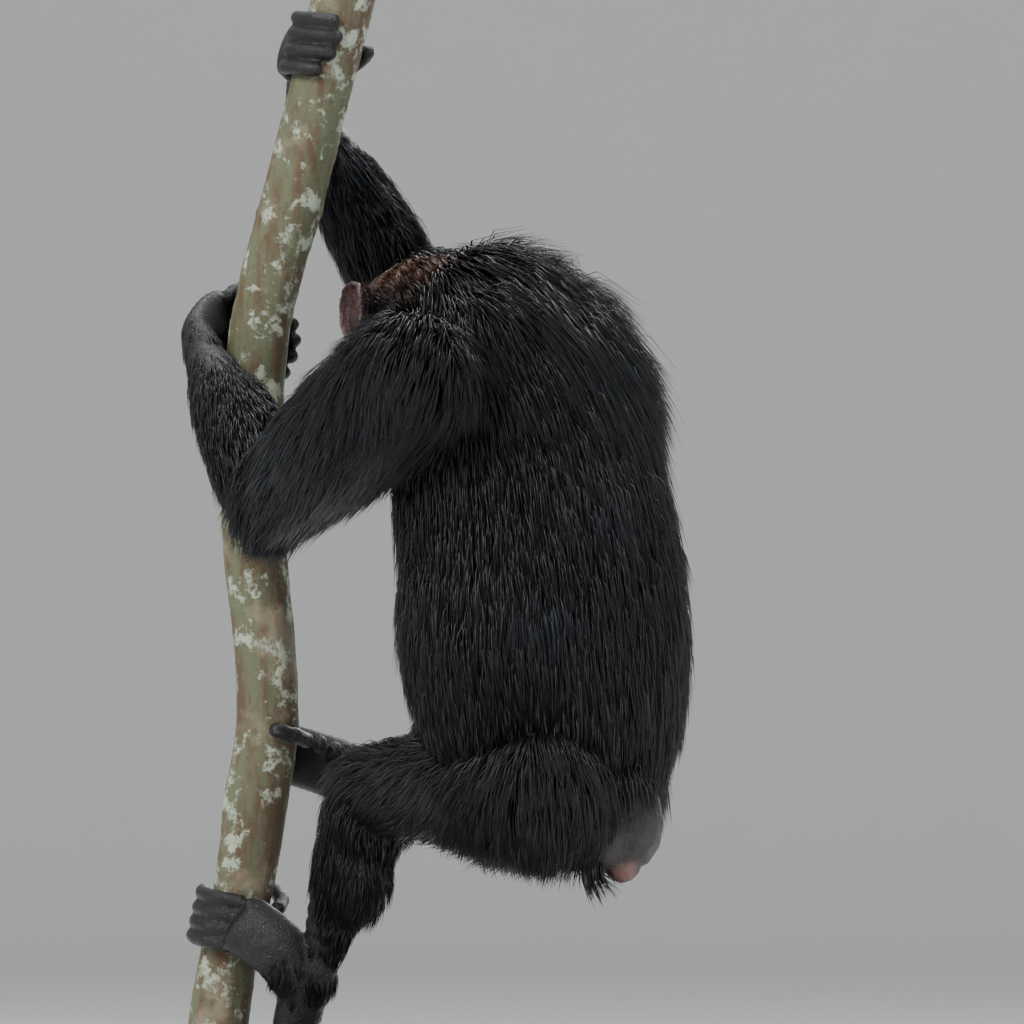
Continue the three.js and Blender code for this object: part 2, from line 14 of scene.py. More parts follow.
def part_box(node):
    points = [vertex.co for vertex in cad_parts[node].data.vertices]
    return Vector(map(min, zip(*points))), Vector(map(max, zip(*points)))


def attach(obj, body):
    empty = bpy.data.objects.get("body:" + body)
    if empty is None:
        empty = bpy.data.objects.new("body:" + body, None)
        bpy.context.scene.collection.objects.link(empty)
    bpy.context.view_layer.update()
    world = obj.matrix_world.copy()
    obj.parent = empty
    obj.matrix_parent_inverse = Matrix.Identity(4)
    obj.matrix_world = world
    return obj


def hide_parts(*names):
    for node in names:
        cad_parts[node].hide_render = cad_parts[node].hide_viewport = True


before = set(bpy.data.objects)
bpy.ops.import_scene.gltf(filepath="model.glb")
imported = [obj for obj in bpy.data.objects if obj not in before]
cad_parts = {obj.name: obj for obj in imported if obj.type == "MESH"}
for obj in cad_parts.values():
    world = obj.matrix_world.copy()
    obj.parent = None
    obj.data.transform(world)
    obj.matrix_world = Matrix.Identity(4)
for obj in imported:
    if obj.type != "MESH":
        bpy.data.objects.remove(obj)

LOG = logging.getLogger("chimpanzee")
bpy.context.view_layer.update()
MM = 0.001
SEED = 20
PERCH_Y = 65.0
UPPER_ARM = 240.0
FOREARM = 230.0
THIGH = 258.0
SHANK = 230.0


def unit(vector: np.ndarray) -> np.ndarray:
    """Vectors scaled to length one, along the last axis."""
    length = np.linalg.norm(vector, axis=-1, keepdims=True)
    return vector / np.maximum(length, 1e-9)


def place(*numbers: float) -> np.ndarray:
    """A place or way as an array of numbers."""
    return np.array(numbers, dtype=float)


def bend(root: np.ndarray, tip: np.ndarray, upper: float, lower: float, pole: np.ndarray) -> np.ndarray:
    """The middle joint of a limb of two bones.

    Args:
        root: Place of the upper joint, in millimetres.
        tip: Place of the lower joint.
        upper: Length of the upper bone.
        lower: Length of the lower bone.
        pole: The way that the middle joint points.

    Returns:
        The place of the middle joint.
    """
    line = tip - root
    reach = float(np.linalg.norm(line))
    line = line / reach
    along = (upper**2 - lower**2 + reach**2) / (2 * reach)
    off = math.sqrt(max(upper**2 - along**2, 0.0))
    side = unit(pole - line * pole.dot(line))
    return root + line * along + side * off


def spline(rows: np.ndarray, t: np.ndarray) -> np.ndarray:
    """Values on a smooth curve through rows, at t from 0 to 1.

    Args:
        rows: The rows to pass through.
        t: Shares of the way, 0 to 1.

    Returns:
        A row for each share.
    """
    count = len(rows)
    place_along = np.clip(t, 0, 1) * (count - 1)
    low = np.minimum(place_along.astype(int), count - 2)
    share = (place_along - low)[:, None]
    before = rows[np.maximum(low - 1, 0)]
    start = rows[low]
    end = rows[low + 1]
    after = rows[np.minimum(low + 2, count - 1)]
    slope_start = (end - before) / 2
    slope_end = (after - start) / 2
    square = share * share
    cube = square * share
    return (
        (2 * cube - 3 * square + 1) * start
        + (cube - 2 * square + share) * slope_start
        + (3 * square - 2 * cube) * end
        + (cube - square) * slope_end
    )


SHOULDER_LEFT = place(-30, -250, 796)
SHOULDER_RIGHT = place(92, 12, 862)
WRIST_LEFT = place(-250, 46, 856)
WRIST_RIGHT = place(-146, 122, 1106)
HIP_LEFT = place(100, -245, 400)
HIP_RIGHT = place(150, -92, 410)
ANKLE_LEFT = place(-132, 22, 192)
ANKLE_RIGHT = place(-62, 112, 398)
HEAD_CENTRE = place(-26, -50, 862)
ELBOW_LEFT = bend(SHOULDER_LEFT, WRIST_LEFT, UPPER_ARM, FOREARM, place(-0.1, 0, -1))
ELBOW_RIGHT = bend(SHOULDER_RIGHT, WRIST_RIGHT, UPPER_ARM, FOREARM, place(-0.22, 1, -0.33))
KNEE_LEFT = bend(HIP_LEFT, ANKLE_LEFT, THIGH, SHANK, place(-0.35, 0.45, 0.82))
KNEE_RIGHT = bend(HIP_RIGHT, ANKLE_RIGHT, THIGH, SHANK, place(0.4, 0.5, 0.77))

HEAD_FORWARD = unit(place(-0.5, 0.8, -0.3))
HEAD_LEFT = unit(np.cross(place(0, 0, 1), HEAD_FORWARD))
HEAD_UP = np.cross(HEAD_FORWARD, HEAD_LEFT)
BODY_LEFT = place(-0.64, -0.77, 0)

PERCH_ROWS = np.array(
    [
        [112, -234, 0, 34],
        [224, -219, 2, 31],
        [314, -199, 0, 33],
        [384, -190, -2, 35],
        [449, -178, 0, 34],
        [534, -180, 2, 33],
        [624, -191, 1, 34],
        [704, -195, -1, 34],
        [784, -194, 0, 33],
        [884, -184, 2, 33],
        [984, -157, 0, 35],
        [1084, -133, -2, 34],
        [1164, -113, 0, 35],
        [1262, -89, 0, 36],
    ],
    dtype=float,
)


def perch_at(height: float) -> np.ndarray:
    """The sapling's centre at a height, in millimetres.

    Args:
        height: The height in millimetres.

    Returns:
        The place.
    """
    x = float(np.interp(height, PERCH_ROWS[:, 0], PERCH_ROWS[:, 1]))
    y = float(np.interp(height, PERCH_ROWS[:, 0], PERCH_ROWS[:, 2]))
    return place(x, PERCH_Y + y, height)


def head_point(x: float, y: float, z: float) -> np.ndarray:
    """A place given forwards, to the left and up from the head's centre."""
    return HEAD_CENTRE + HEAD_FORWARD * x + HEAD_LEFT * y + HEAD_UP * z


class Lie(Enum):
    """The way the hair lies on a length of the body."""

    OUTWARD = 1
    BACKWARD = -1


@dataclass
class Limb:
    """A length of the body: rows of place and half-sizes out to the tips of the coat.

    Each row holds x, y, z, the half-size along side and the half-size across, in millimetres.
    The hair at its start lies along first_way.
    """

    name: str
    rows: np.ndarray
    side: np.ndarray
    coat: float
    hair: tuple[float, float]
    lie: Lie = Lie.OUTWARD
    first_way: tuple[float, float, float] = (0.1, 0.0, -1.0)

    def balls(self, spacing: float) -> list[tuple[np.ndarray, np.ndarray, np.ndarray]]:
        """Overlapping balls that fill the flesh.

        Args:
            spacing: Distance between the balls' centres.

        Returns:
            For each ball its centre, its three axes as columns and its half-sizes.
        """
        length = float(np.linalg.norm(np.diff(self.rows[:, :3], axis=0), axis=1).sum())
        count = max(int(length / spacing), 3)
        t = np.linspace(0, 1, count + 1)
        values = spline(self.rows, t)
        ahead = unit(spline(self.rows, t + 0.02)[:, :3] - spline(self.rows, t - 0.02)[:, :3])
        found = []
        for row, way in zip(values, ahead):
            side = unit(self.side - way * self.side.dot(way))
            axes = np.column_stack([side, np.cross(way, side), way])
            flesh = np.maximum(row[3:5] - self.coat, 8)
            found.append((row[:3], axes, np.array([flesh[0], flesh[1], min(flesh) * 0.8])))
        return found


@dataclass(frozen=True)
class Build:
    """What both sides of a limb share: half-sizes at shares of the bone, side, coat and hair."""

    sizes: Sequence[Sequence[float]]
    side: np.ndarray
    coat: float
    hair: tuple[float, float]
    lie: Lie = Lie.OUTWARD

    def on(self, name: str, start: np.ndarray, end: np.ndarray, **own: tuple[float, ...]) -> Limb:
        """The limb on a straight bone from start to end, with values of its own."""
        rows = np.array([[*(start + (end - start) * share), wide, deep] for share, wide, deep in self.sizes])
        return replace(Limb(name, rows, self.side, self.coat, self.hair, self.lie), **own)


ARM_SIDE = place(0.3, 0.9, 0.3)
LEG_SIDE = place(0.3, 1, 0.1)
UPPER_ARM_BUILD = Build(
    [[-0.1, 62, 66], [0.12, 69, 71], [0.45, 67, 69], [0.85, 55, 56], [1, 49, 50]], ARM_SIDE, 14, (56, 52)
)
FOREARM_BUILD = Build(
    [[0, 46, 47], [0.22, 54, 54], [0.55, 50, 48], [0.86, 33, 30], [0.97, 25, 20]],
    ARM_SIDE,
    9,
    (44, 18),
    Lie.BACKWARD,
)
THIGH_BUILD = Build(
    [[-0.06, 75, 80], [0.12, 76, 80], [0.5, 62, 66], [0.85, 51, 53], [1, 47, 48]], LEG_SIDE, 13, (50, 46)
)
SHANK_BUILD = Build(
    [[0, 46, 47], [0.25, 46, 50], [0.6, 36, 39], [0.88, 26, 28], [1, 25, 27]], LEG_SIDE, 9, (36, 16)
)

TORSO_ROWS = [
    [40, -104, 872, 74, 74],
    [64, -112, 806, 148, 108],
    [84, -126, 716, 150, 130],
    [99, -142, 626, 155, 140],
    [105, -158, 534, 159, 142],
    [116, -170, 450, 132, 122],
    [118, -180, 392, 86, 80],
]
NECK_ROWS = [[52, -104, 842, 80, 66], [18, -84, 858, 70, 62], [-24, -60, 862, 58, 54]]
NAPE_WAY = (0.75, -0.35, -0.55)
SHOULDER_WAY = (-0.3, -0.55, -0.8)
LIMBS = [
    Limb("torso", np.array(TORSO_ROWS, dtype=float), BODY_LEFT, 15, (58, 46), first_way=NAPE_WAY),
    Limb("neck", np.array(NECK_ROWS, dtype=float), BODY_LEFT, 12, (50, 30), Lie.BACKWARD),
    UPPER_ARM_BUILD.on("upper_arm_left", SHOULDER_LEFT, ELBOW_LEFT, hair=(56, 56), first_way=SHOULDER_WAY),
    UPPER_ARM_BUILD.on("upper_arm_right", SHOULDER_RIGHT, ELBOW_RIGHT),
    FOREARM_BUILD.on("forearm_left", ELBOW_LEFT, WRIST_LEFT),
    FOREARM_BUILD.on("forearm_right", ELBOW_RIGHT, WRIST_RIGHT),
    THIGH_BUILD.on("thigh_left", HIP_LEFT, KNEE_LEFT),
    THIGH_BUILD.on("thigh_right", HIP_RIGHT, KNEE_RIGHT),
    SHANK_BUILD.on("shank_left", KNEE_LEFT, ANKLE_LEFT),
    SHANK_BUILD.on("shank_right", KNEE_RIGHT, ANKLE_RIGHT),
]
BARK_REACH = 34.6
KNUCKLES = ((0.42, 0.09, 0.12), (0.77, 0.07, 0.08))


def beside_perch(height: float, angle: float, distance: float) -> np.ndarray:
    """A place beside the sapling, at an angle in degrees and a distance from its centre line."""
    turn = math.radians(angle)
    return perch_at(height) + place(distance * math.cos(turn), distance * math.sin(turn), 0)


@dataclass
class Digit:
    """A finger or toe that curls round the sapling.

    Angles are in degrees round the sapling, heights and radii in millimetres.
    """

    root: list[np.ndarray]
    angles: tuple[float, float]
    heights: tuple[float, float]
    radius: float
    taper: float = 0.82
    steps: int = 12

    def path(self, share: float) -> tuple[np.ndarray, float]:
        """The middle and the radius at a share from knuckle to tip.

        Args:
            share: The share, 0 to 1.

        Returns:
            The middle and the radius.
        """
        angle = self.angles[0] + (self.angles[1] - self.angles[0]) * share
        height = self.heights[0] + (self.heights[1] - self.heights[0]) * share
        size = self.radius * (1 + (self.taper - 1) * share)
        knuckles = sum(rise * math.exp(-(((share - at) / wide) ** 2)) for at, wide, rise in KNUCKLES)
        slim = size * (0.84 + knuckles + 0.04 * (share > 0.9))
        return beside_perch(height, angle, BARK_REACH + slim), slim

    def rows(self) -> np.ndarray:
        """Rows of place and half-sizes from the palm to the tip.

        Returns:
            The rows.
        """
        rows = [[*point, self.radius * 0.98, self.radius * 0.9] for point in self.root]
        for i in range(self.steps + 1):
            middle, size = self.path(i / self.steps)
            rows.append([*middle, size, size])
        return np.array(rows)


@dataclass(frozen=True)
class Stack:
    """Four fingers or toes one above another, in millimetres."""

    lengths: Sequence[float]
    pitch: float
    tip_pitch: float
    radius: float

    def digits(
        self,
        root: tuple[float, float, float],
        sweep: tuple[float, float, float],
        heights: tuple[float, float],
    ) -> list[Digit]:
        """The four digits, from the top one down.

        Args:
            root: Height, angle and distance of the top one's knuckle beside the sapling.
            sweep: The angle where each starts, and the angle and the further turn where one of length 1 ends.
            heights: The top one's height at its start and at its tip.

        Returns:
            The digits.
        """
        found = []
        for i, share in enumerate(self.lengths):
            knuckle = beside_perch(root[0] - i * self.pitch, root[1], root[2])
            rise = (heights[0] - i * self.pitch, heights[1] - i * self.tip_pitch)
            found.append(Digit([knuckle], (sweep[0], sweep[1] + sweep[2] * share), rise, self.radius))
        return found


@dataclass
class Extremity:
    """A hand or foot: the rows of its palm or sole and its digits, from the frame's own sizes."""

    name: str
    sole: np.ndarray
    side: np.ndarray
    digits: list[Digit]


FINGERS = Stack([0.93, 1.03, 1.0, 0.86], 17.0, 16.5, 8.2)
TOES = Stack([1.0, 1.04, 0.96, 0.84], 15.0, 15.0, 7.6)
PALM_SIZES = [[24, 18], [25, 17], [33, 14], [33, 11]]
WRIST_LENGTH = 18
HAND_LEFT_Z = 868.0
HAND_RIGHT_Z = 1146.0
FOOT_LEFT_Z = 258.0
FOOT_RIGHT_Z = 432.0


def sole_rows(points: Sequence[np.ndarray], sizes: Sequence[Sequence[float]]) -> np.ndarray:
    """Rows of place and half-sizes."""
    return np.array([[*point, *size] for point, size in zip(points, sizes)])


def hand(
    name: str, elbow: np.ndarray, wrist: np.ndarray, palm: Sequence[np.ndarray], digits: list[Digit]
) -> Extremity:
    """A hand from its wrist through the two places of its palm."""
    start = wrist - unit(wrist - elbow) * WRIST_LENGTH
    return Extremity(name, sole_rows([start, wrist, *palm], PALM_SIZES), place(0, 0, 1), digits)


def left_hand() -> Extremity:
    """The left hand, its fingers behind the sapling and their tips on the right.

    Returns:
        The hand.
    """
    z = HAND_LEFT_Z
    palm = [beside_perch(z + 6, 172, 50), beside_perch(z + 8, 140, 49)]
    fingers = FINGERS.digits((z + 30, 158, 48), (132, 132, -98), (z + 30, z + 6))
    thumb = Digit([beside_perch(z + 14, 178, 50)], (160, 108), (z + 38, z + 50), FINGERS.radius * 0.9)
    return hand("hand_left", ELBOW_LEFT, WRIST_LEFT, palm, [*fingers, thumb])


def right_hand() -> Extremity:
    """The right hand, its fingers over the near side of the sapling.

    Returns:
        The hand.
    """
    z = HAND_RIGHT_Z
    palm = [beside_perch(z, 122, 50), beside_perch(z + 14, 152, 49)]
    fingers = FINGERS.digits((z + 44, 140, 48), (162, 170, 106), (z + 44, z + 34))
    thumb = Digit([beside_perch(z - 16, 100, 50)], (78, 14), (z - 14, z + 8), FINGERS.radius * 0.95)
    return hand("hand_right", ELBOW_RIGHT, WRIST_RIGHT, palm, [*fingers, thumb])


def left_foot() -> Extremity:
    """The left foot, its toes over the near side and its great toe on the far side.

    Returns:
        The foot.
    """
    z = FOOT_LEFT_Z
    points = [place(-149, 36, 156), place(-141, 22, 196), place(-164, 8, 232), beside_perch(z, 284, 50)]
    sole = sole_rows(points, [[23, 23], [26, 28], [31, 21], [32, 14]])
    toes = TOES.digits((z + 20, 286, 50), (268, 262, -88), (z + 24, z + 34))
    great = Digit([beside_perch(z - 6, 312, 54)], (340, 420), (z + 14, z + 40), TOES.radius * 1.3)
    return Extremity("foot_left", sole, place(0.75, 0.1, 1), [*toes, great])


def right_foot() -> Extremity:
    """The right foot, its toes on the far side and its great toe on the near side.

    Returns:
        The foot.
    """
    z = FOOT_RIGHT_Z
    points = [place(-42, 128, 362), place(-66, 116, 394), place(-96, 112, 412), beside_perch(z, 62, 52)]
    sole = sole_rows(points, [[23, 23], [26, 28], [32, 26], [32, 14]])
    toes = TOES.digits((z + 22, 66, 50), (88, 96, 36), (z + 24, z + 30))
    root = [place(-98, 92, 428), beside_perch(z + 8, 8, 60)]
    great = Digit(root, (-28, -78), (z + 14, z + 24), TOES.radius * 1.35)
    return Extremity("foot_right", sole, place(0.2, -0.2, 1), [*toes, great])


EXTREMITIES = [left_hand(), right_hand(), left_foot(), right_foot()]
COPIED_NODES = ["head", "ear_left", "ear_right", "rump_skin"]
PAIRED_NODES = ("upper_arm", "forearm", "hand", "thigh", "shank", "foot")
FLESH_NODES = ["torso", "neck", *COPIED_NODES]
FLESH_NODES += [f"{part}_{side}" for part in PAIRED_NODES for side in ("left", "right")]


class Socket:
    """A shader socket that takes part in sums, as numbers do."""

    def __init__(self, sheet: "Sheet", link: bpy.types.NodeSocket) -> None:
        """Keeps the node sheet and the socket it stands for."""
        self.sheet = sheet
        self.link = link

    def _sum(self, how: str, first: "Socket | float", second: "Socket | float") -> "Socket":
        """A Math node on two values."""
        return self.sheet.node("ShaderNodeMath", {"operation": how}, {0: first, 1: second})

    def __add__(self, other: "Socket | float") -> "Socket":
        """The sum."""
        return self._sum("ADD", self, other)

    def __sub__(self, other: "Socket | float") -> "Socket":
        """The difference."""
        return self._sum("SUBTRACT", self, other)

    def __rsub__(self, other: float) -> "Socket":
        """The difference from a number."""
        return self._sum("SUBTRACT", other, self)

    def __mul__(self, other: "Socket | float") -> "Socket":
        """The product."""
        return self._sum("MULTIPLY", self, other)

    def between(self, low: float, high: float) -> "Socket":
        """A smooth step from 0 at low to 1 at high.

        Args:
            low: Where the step starts.
            high: Where it ends.

        Returns:
            The step.
        """
        return self.sheet.node(
            "ShaderNodeMapRange",
            {"interpolation_type": "SMOOTHSTEP"},
            {"Value": self, "From Min": low, "From Max": high},
        )

    __radd__ = __add__
    __rmul__ = __mul__


Value = Socket | float | Sequence[float]


class Sheet:
    """The node sheet of one material."""

    def __init__(self, name: str) -> None:
        """Makes a material with an empty sheet.

        Args:
            name: The material's name.
        """
        self.material = bpy.data.materials.new(name)
        self.material.use_nodes = True
        self.tree = self.material.node_tree
        self.tree.nodes.clear()

    def node(
        self,
        kind: str,
        settings: Optional[dict[str, object]] = None,
        inputs: Optional[dict[str | int, Value]] = None,
        out: str | int = 0,
    ) -> Socket:
        """Any node.

        Args:
            kind: The node's type.
            settings: Its settings.
            inputs: Values or sockets for its inputs.
            out: The output that is wanted.

        Returns:
            The output as a Socket.
        """
        made = self.tree.nodes.new(kind)
        for key, value in (settings or {}).items():
            setattr(made, key, value)
        for key, value in (inputs or {}).items():
            if isinstance(value, Socket):
                self.tree.links.new(value.link, made.inputs[key])
            else:
                made.inputs[key].default_value = value
        return Socket(self, made.outputs[out])

    def place(self) -> Socket:
        """Object coordinates."""
        return self.node("ShaderNodeTexCoord", out="Object")

    def noise(
        self, scale: float, detail: float = 4, rough: float = 0.55, where: Optional[Socket] = None
    ) -> Socket:
        """A noise from 0 to 1, its scale in cycles a metre.

        Args:
            scale: Cycles a metre.
            detail: How many octaves.
            rough: How strong the finer ones are.
            where: The place to look up, or the default one.

        Returns:
            The noise.
        """
        return self.node(
            "ShaderNodeTexNoise",
            {},
            {"Vector": where or self.place(), "Scale": scale, "Detail": detail, "Roughness": rough},
        )

    def stretched(self, scale: Sequence[float]) -> Socket:
        """Object coordinates scaled by axis."""
        return self.node("ShaderNodeMapping", {}, {"Vector": self.place(), "Scale": scale})

    def mix(self, share: Socket | float, first: Value, second: Value, how: str = "MIX") -> Socket:
        """A colour between two, or blended by another rule.

        Args:
            share: How much of the second.
            first: The first colour.
            second: The second colour.
            how: The rule of blending.

        Returns:
            The colour.
        """
        made = self.tree.nodes.new("ShaderNodeMix")
        made.data_type = "RGBA"
        made.blend_type = how
        for key, value in ((0, share), (6, first), (7, second)):
            if isinstance(value, Socket):
                self.tree.links.new(value.link, made.inputs[key])
            elif isinstance(value, float):
                made.inputs[key].default_value = value
            else:
                made.inputs[key].default_value = (*value, 1)
        return Socket(self, made.outputs[2])

    def finish(
        self, colour: Value, rough: Value, bump: Optional[Socket] = None, **fixed: float
    ) -> bpy.types.Material:
        """A Principled surface.

        Args:
            colour: Base colour.
            rough: Roughness.
            bump: Height in metres, if any.
            fixed: Plain numbers for other sockets, with underscores for spaces.

        Returns:
            The material.
        """
        shader = self.tree.nodes.new("ShaderNodeBsdfPrincipled")
        output = self.tree.nodes.new("ShaderNodeOutputMaterial")
        for key, value in (("Base Color", colour), ("Roughness", rough)):
            if isinstance(value, Socket):
                self.tree.links.new(value.link, shader.inputs[key])
            elif key == "Base Color":
                shader.inputs[key].default_value = (*value, 1)
            else:
                shader.inputs[key].default_value = value
        if bump is not None:
            normal = self.node("ShaderNodeBump", {}, {"Height": bump, "Distance": 1.0, "Strength": 1.0})
            self.tree.links.new(normal.link, shader.inputs["Normal"])
        for key, value in fixed.items():
            shader.inputs[key.replace("_", " ")].default_value = value
        self.tree.links.new(shader.outputs[0], output.inputs[0])
        return self.material


@dataclass(frozen=True)
class CoatFinish:
    """Glossy coarse hair, tinted by its own attribute."""

    rough: float = 0.43

    def make(self) -> bpy.types.Material:
        """The coat's material.

        Returns:
            The material.
        """
        sheet = Sheet("coat_hair")
        tint = sheet.node("ShaderNodeAttribute", {"attribute_name": "tint"}, out="Color")
        streak = sheet.noise(900, 2).between(0.3, 0.7) * 0.5 + 0.75
        grey = sheet.node("ShaderNodeCombineColor", {}, {0: streak, 1: streak, 2: streak})
        colour = sheet.mix(1.0, tint, grey, "MULTIPLY")
        return sheet.finish(colour, self.rough, Specular_IOR_Level=0.36)


@dataclass(frozen=True)
class SkinFinish:
    """Dark creased skin, tinted by the marks on the mesh."""

    wrinkle: float = 0.00035

    def make(self) -> bpy.types.Material:
        """The skin's material.

        Returns:
            The material.
        """
        sheet = Sheet("dark_skin")
        tint = sheet.node("ShaderNodeAttribute", {"attribute_name": "tint"}, out="Color")
        blotch = sheet.noise(70, 5).between(0.35, 0.7)
        colour = sheet.mix(blotch * 0.35, tint, (0.012, 0.011, 0.011))
        where = {"Vector": sheet.place(), "Scale": 420.0}
        creases = sheet.node("ShaderNodeTexVoronoi", {"feature": "DISTANCE_TO_EDGE"}, where)
        height = creases.between(0, 0.25) * self.wrinkle + sheet.noise(900, 3) * (self.wrinkle * 0.6)
        rough = 0.38 + blotch * 0.16
        return sheet.finish(colour, rough, height, Specular_IOR_Level=0.4)


@dataclass(frozen=True)
class BarkFinish:
    """Smooth olive bark with pale lichen, brown streaks and fine cracks."""

    olive: tuple[float, float, float] = (0.115, 0.125, 0.075)
    brown: tuple[float, float, float] = (0.10, 0.065, 0.042)
    lichen: tuple[float, float, float] = (0.42, 0.47, 0.37)
    pale: tuple[float, float, float] = (0.30, 0.25, 0.18)

    def make(self) -> bpy.types.Material:
        """The bark's material.

        Returns:
            The material.
        """
        sheet = Sheet("sapling_bark")
        broad = sheet.noise(16, 5, 0.62)
        streaks = sheet.noise(60, 6, 0.65, sheet.stretched((1, 1, 0.22)))
        specks = sheet.noise(210, 5, 0.7)
        colour = sheet.mix(streaks.between(0.4, 0.62), self.olive, self.brown)
        colour = sheet.mix(broad.between(0.52, 0.7) * 0.6, colour, self.pale)
        patch = sheet.noise(34, 8, 0.72).between(0.53, 0.6) * (0.55 + specks * 0.8)
        colour = sheet.mix(patch * 0.85, colour, self.lichen)
        dark = specks.between(0.58, 0.72) * 0.7
        colour = sheet.mix(dark, colour, (0.03, 0.028, 0.02))
        height = streaks * 0.0011 + specks * 0.0006 + patch * 0.0005
        return sheet.finish(colour, 0.86, height, Specular_IOR_Level=0.3)


@dataclass(frozen=True)
class EyeFinish:
    """A brown iris, a dark pupil and dark white of the eye round a forward pole."""

    centre: tuple[float, float, float]
    forward: tuple[float, float, float]
    name: str

    def make(self) -> bpy.types.Material:
        """The eye's material.

        Returns:
            The material.
        """
        sheet = Sheet(self.name)
        vector = "ShaderNodeVectorMath"
        offset = sheet.node(vector, {"operation": "SUBTRACT"}, {0: sheet.place(), 1: self.centre})
        way = sheet.node(vector, {"operation": "NORMALIZE"}, {0: offset})
        facing = sheet.node(vector, {"operation": "DOT_PRODUCT"}, {0: way, 1: self.forward}, out="Value")
        fibres = sheet.noise(1500, 3)
        iris = sheet.mix(fibres, (0.05, 0.018, 0.006), (0.19, 0.075, 0.02))
        colour = sheet.mix(facing.between(0.80, 0.84), (0.035, 0.022, 0.018), iris)
        colour = sheet.mix(facing.between(0.955, 0.965), colour, (0.002, 0.002, 0.002))
        return sheet.finish(colour, 0.08, Specular_IOR_Level=0.7, Coat_Weight=1.0, Coat_Roughness=0.03)


@dataclass(frozen=True)
class PaintFinish:
    """Satin dark paint with a faint grain, for the display stand."""

    name: str
    colour: tuple[float, float, float] = (0.035, 0.037, 0.04)

    def make(self) -> bpy.types.Material:
        """The paint's material.

        Returns:
            The material.
        """
        sheet = Sheet(self.name)
        cloud = sheet.noise(9, 4)
        grain = sheet.noise(1400, 2)
        colour = sheet.mix(cloud * 0.35, self.colour, tuple(c * 1.6 for c in self.colour))
        rough = 0.36 + cloud * 0.16
        return sheet.finish(colour, rough, grain * 0.00004)


@dataclass(frozen=True)
class NailFinish:
    """Dark horn with fine ridges."""

    def make(self) -> bpy.types.Material:
        """The nails' material.

        Returns:
            The material.
        """
        sheet = Sheet("dark_nail")
        ridge = sheet.noise(1100, 3)
        colour = sheet.mix(ridge, (0.012, 0.010, 0.010), (0.05, 0.042, 0.038))
        return sheet.finish(colour, 0.3 + ridge * 0.15, ridge * 0.0001)


def keep_mesh(name: str, mesh: bpy.types.Mesh, material: bpy.types.Material) -> bpy.types.Object:
    """A finished piece that rides on the model.

    Args:
        name: The piece's name.
        mesh: Its mesh, in metres.
        material: What it is dressed in.

    Returns:
        The piece.
    """
    mesh.name = name
    mesh.materials.clear()
    mesh.materials.append(material)
    piece = bpy.data.objects.new(name, mesh)
    bpy.context.scene.collection.objects.link(piece)
    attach(piece, "root")
    LOG.info("%s: %d faces", name, len(mesh.polygons))
    return piece


def merged_copy(made: bmesh.types.BMesh, node: str) -> None:
    """Adds a CAD node's mesh to a bmesh, its doubles merged.

    Args:
        made: The bmesh to add to.
        node: The CAD node's name.
    """
    own = bmesh.new()
    own.from_mesh(bpy.data.objects[node].data)
    bmesh.ops.remove_doubles(own, verts=own.verts, dist=0.00002)
    mesh = bpy.data.meshes.new("copy")
    own.to_mesh(mesh)
    own.free()
    made.from_mesh(mesh)
    bpy.data.meshes.remove(mesh)


def through_modifiers(
    made: bmesh.types.BMesh, steps: Sequence[tuple[str, dict[str, object]]]
) -> bpy.types.Mesh:
    """A mesh with modifiers applied in order.

    Args:
        made: The starting mesh, which is freed.
        steps: Each modifier's type and its settings.

    Returns:
        The new mesh.
    """
    mesh = bpy.data.meshes.new("work")
    made.to_mesh(mesh)
    made.free()
    work = bpy.data.objects.new("work", mesh)
    bpy.context.scene.collection.objects.link(work)
    for kind, settings in steps:
        modifier = work.modifiers.new(kind, kind)
        for key, value in settings.items():
            setattr(modifier, key, value)
    shaped = work.evaluated_get(bpy.context.evaluated_depsgraph_get())
    result = bpy.data.meshes.new_from_object(shaped)
    bpy.data.objects.remove(work)
    bpy.data.meshes.remove(mesh)
    return result


def corners_of(mesh: bpy.types.Mesh) -> np.ndarray:
    """A mesh's vertices in millimetres.

    Args:
        mesh: The mesh.

    Returns:
        One row of three for each vertex.
    """
    flat = np.empty(len(mesh.vertices) * 3)
    mesh.vertices.foreach_get("co", flat)
    return flat.reshape(-1, 3) / MM


def normals_of(mesh: bpy.types.Mesh) -> np.ndarray:
    """The way out of a mesh at its vertices.

    Args:
        mesh: The mesh.

    Returns:
        One row of three for each vertex.
    """
    flat = np.empty(len(mesh.vertices) * 3)
    mesh.vertices.foreach_get("normal", flat)
    return flat.reshape(-1, 3)


def shade_smooth(mesh: bpy.types.Mesh) -> None:
    """Shades every face smooth."""
    mesh.polygons.foreach_set("use_smooth", np.ones(len(mesh.polygons), dtype=bool))


def smooth_mesh(made: bmesh.types.BMesh, name: str) -> bpy.types.Mesh:
    """A smooth-shaded mesh from a bmesh, which is freed.

    Args:
        made: The bmesh.
        name: The mesh's name.

    Returns:
        The mesh.
    """
    mesh = bpy.data.meshes.new(name)
    made.to_mesh(mesh)
    made.free()
    shade_smooth(mesh)
    return mesh


def away(points: np.ndarray, middle: np.ndarray) -> np.ndarray:
    """How far places are from a middle."""
    return np.linalg.norm(points - middle, axis=1)


def set_tint(mesh: bpy.types.Mesh, colours: np.ndarray) -> None:
    """Writes a colour for each vertex."""
    layer = mesh.color_attributes.new("tint", "FLOAT_COLOR", "POINT")
    layer.data.foreach_set("color", np.column_stack([colours, np.ones(len(colours))]).ravel())


def smooth_step(value: np.ndarray, low: float, high: float) -> np.ndarray:
    """A smooth step from 0 at low to 1 at high."""
    share = np.clip((value - low) / (high - low), 0, 1)
    return share * share * (3 - 2 * share)


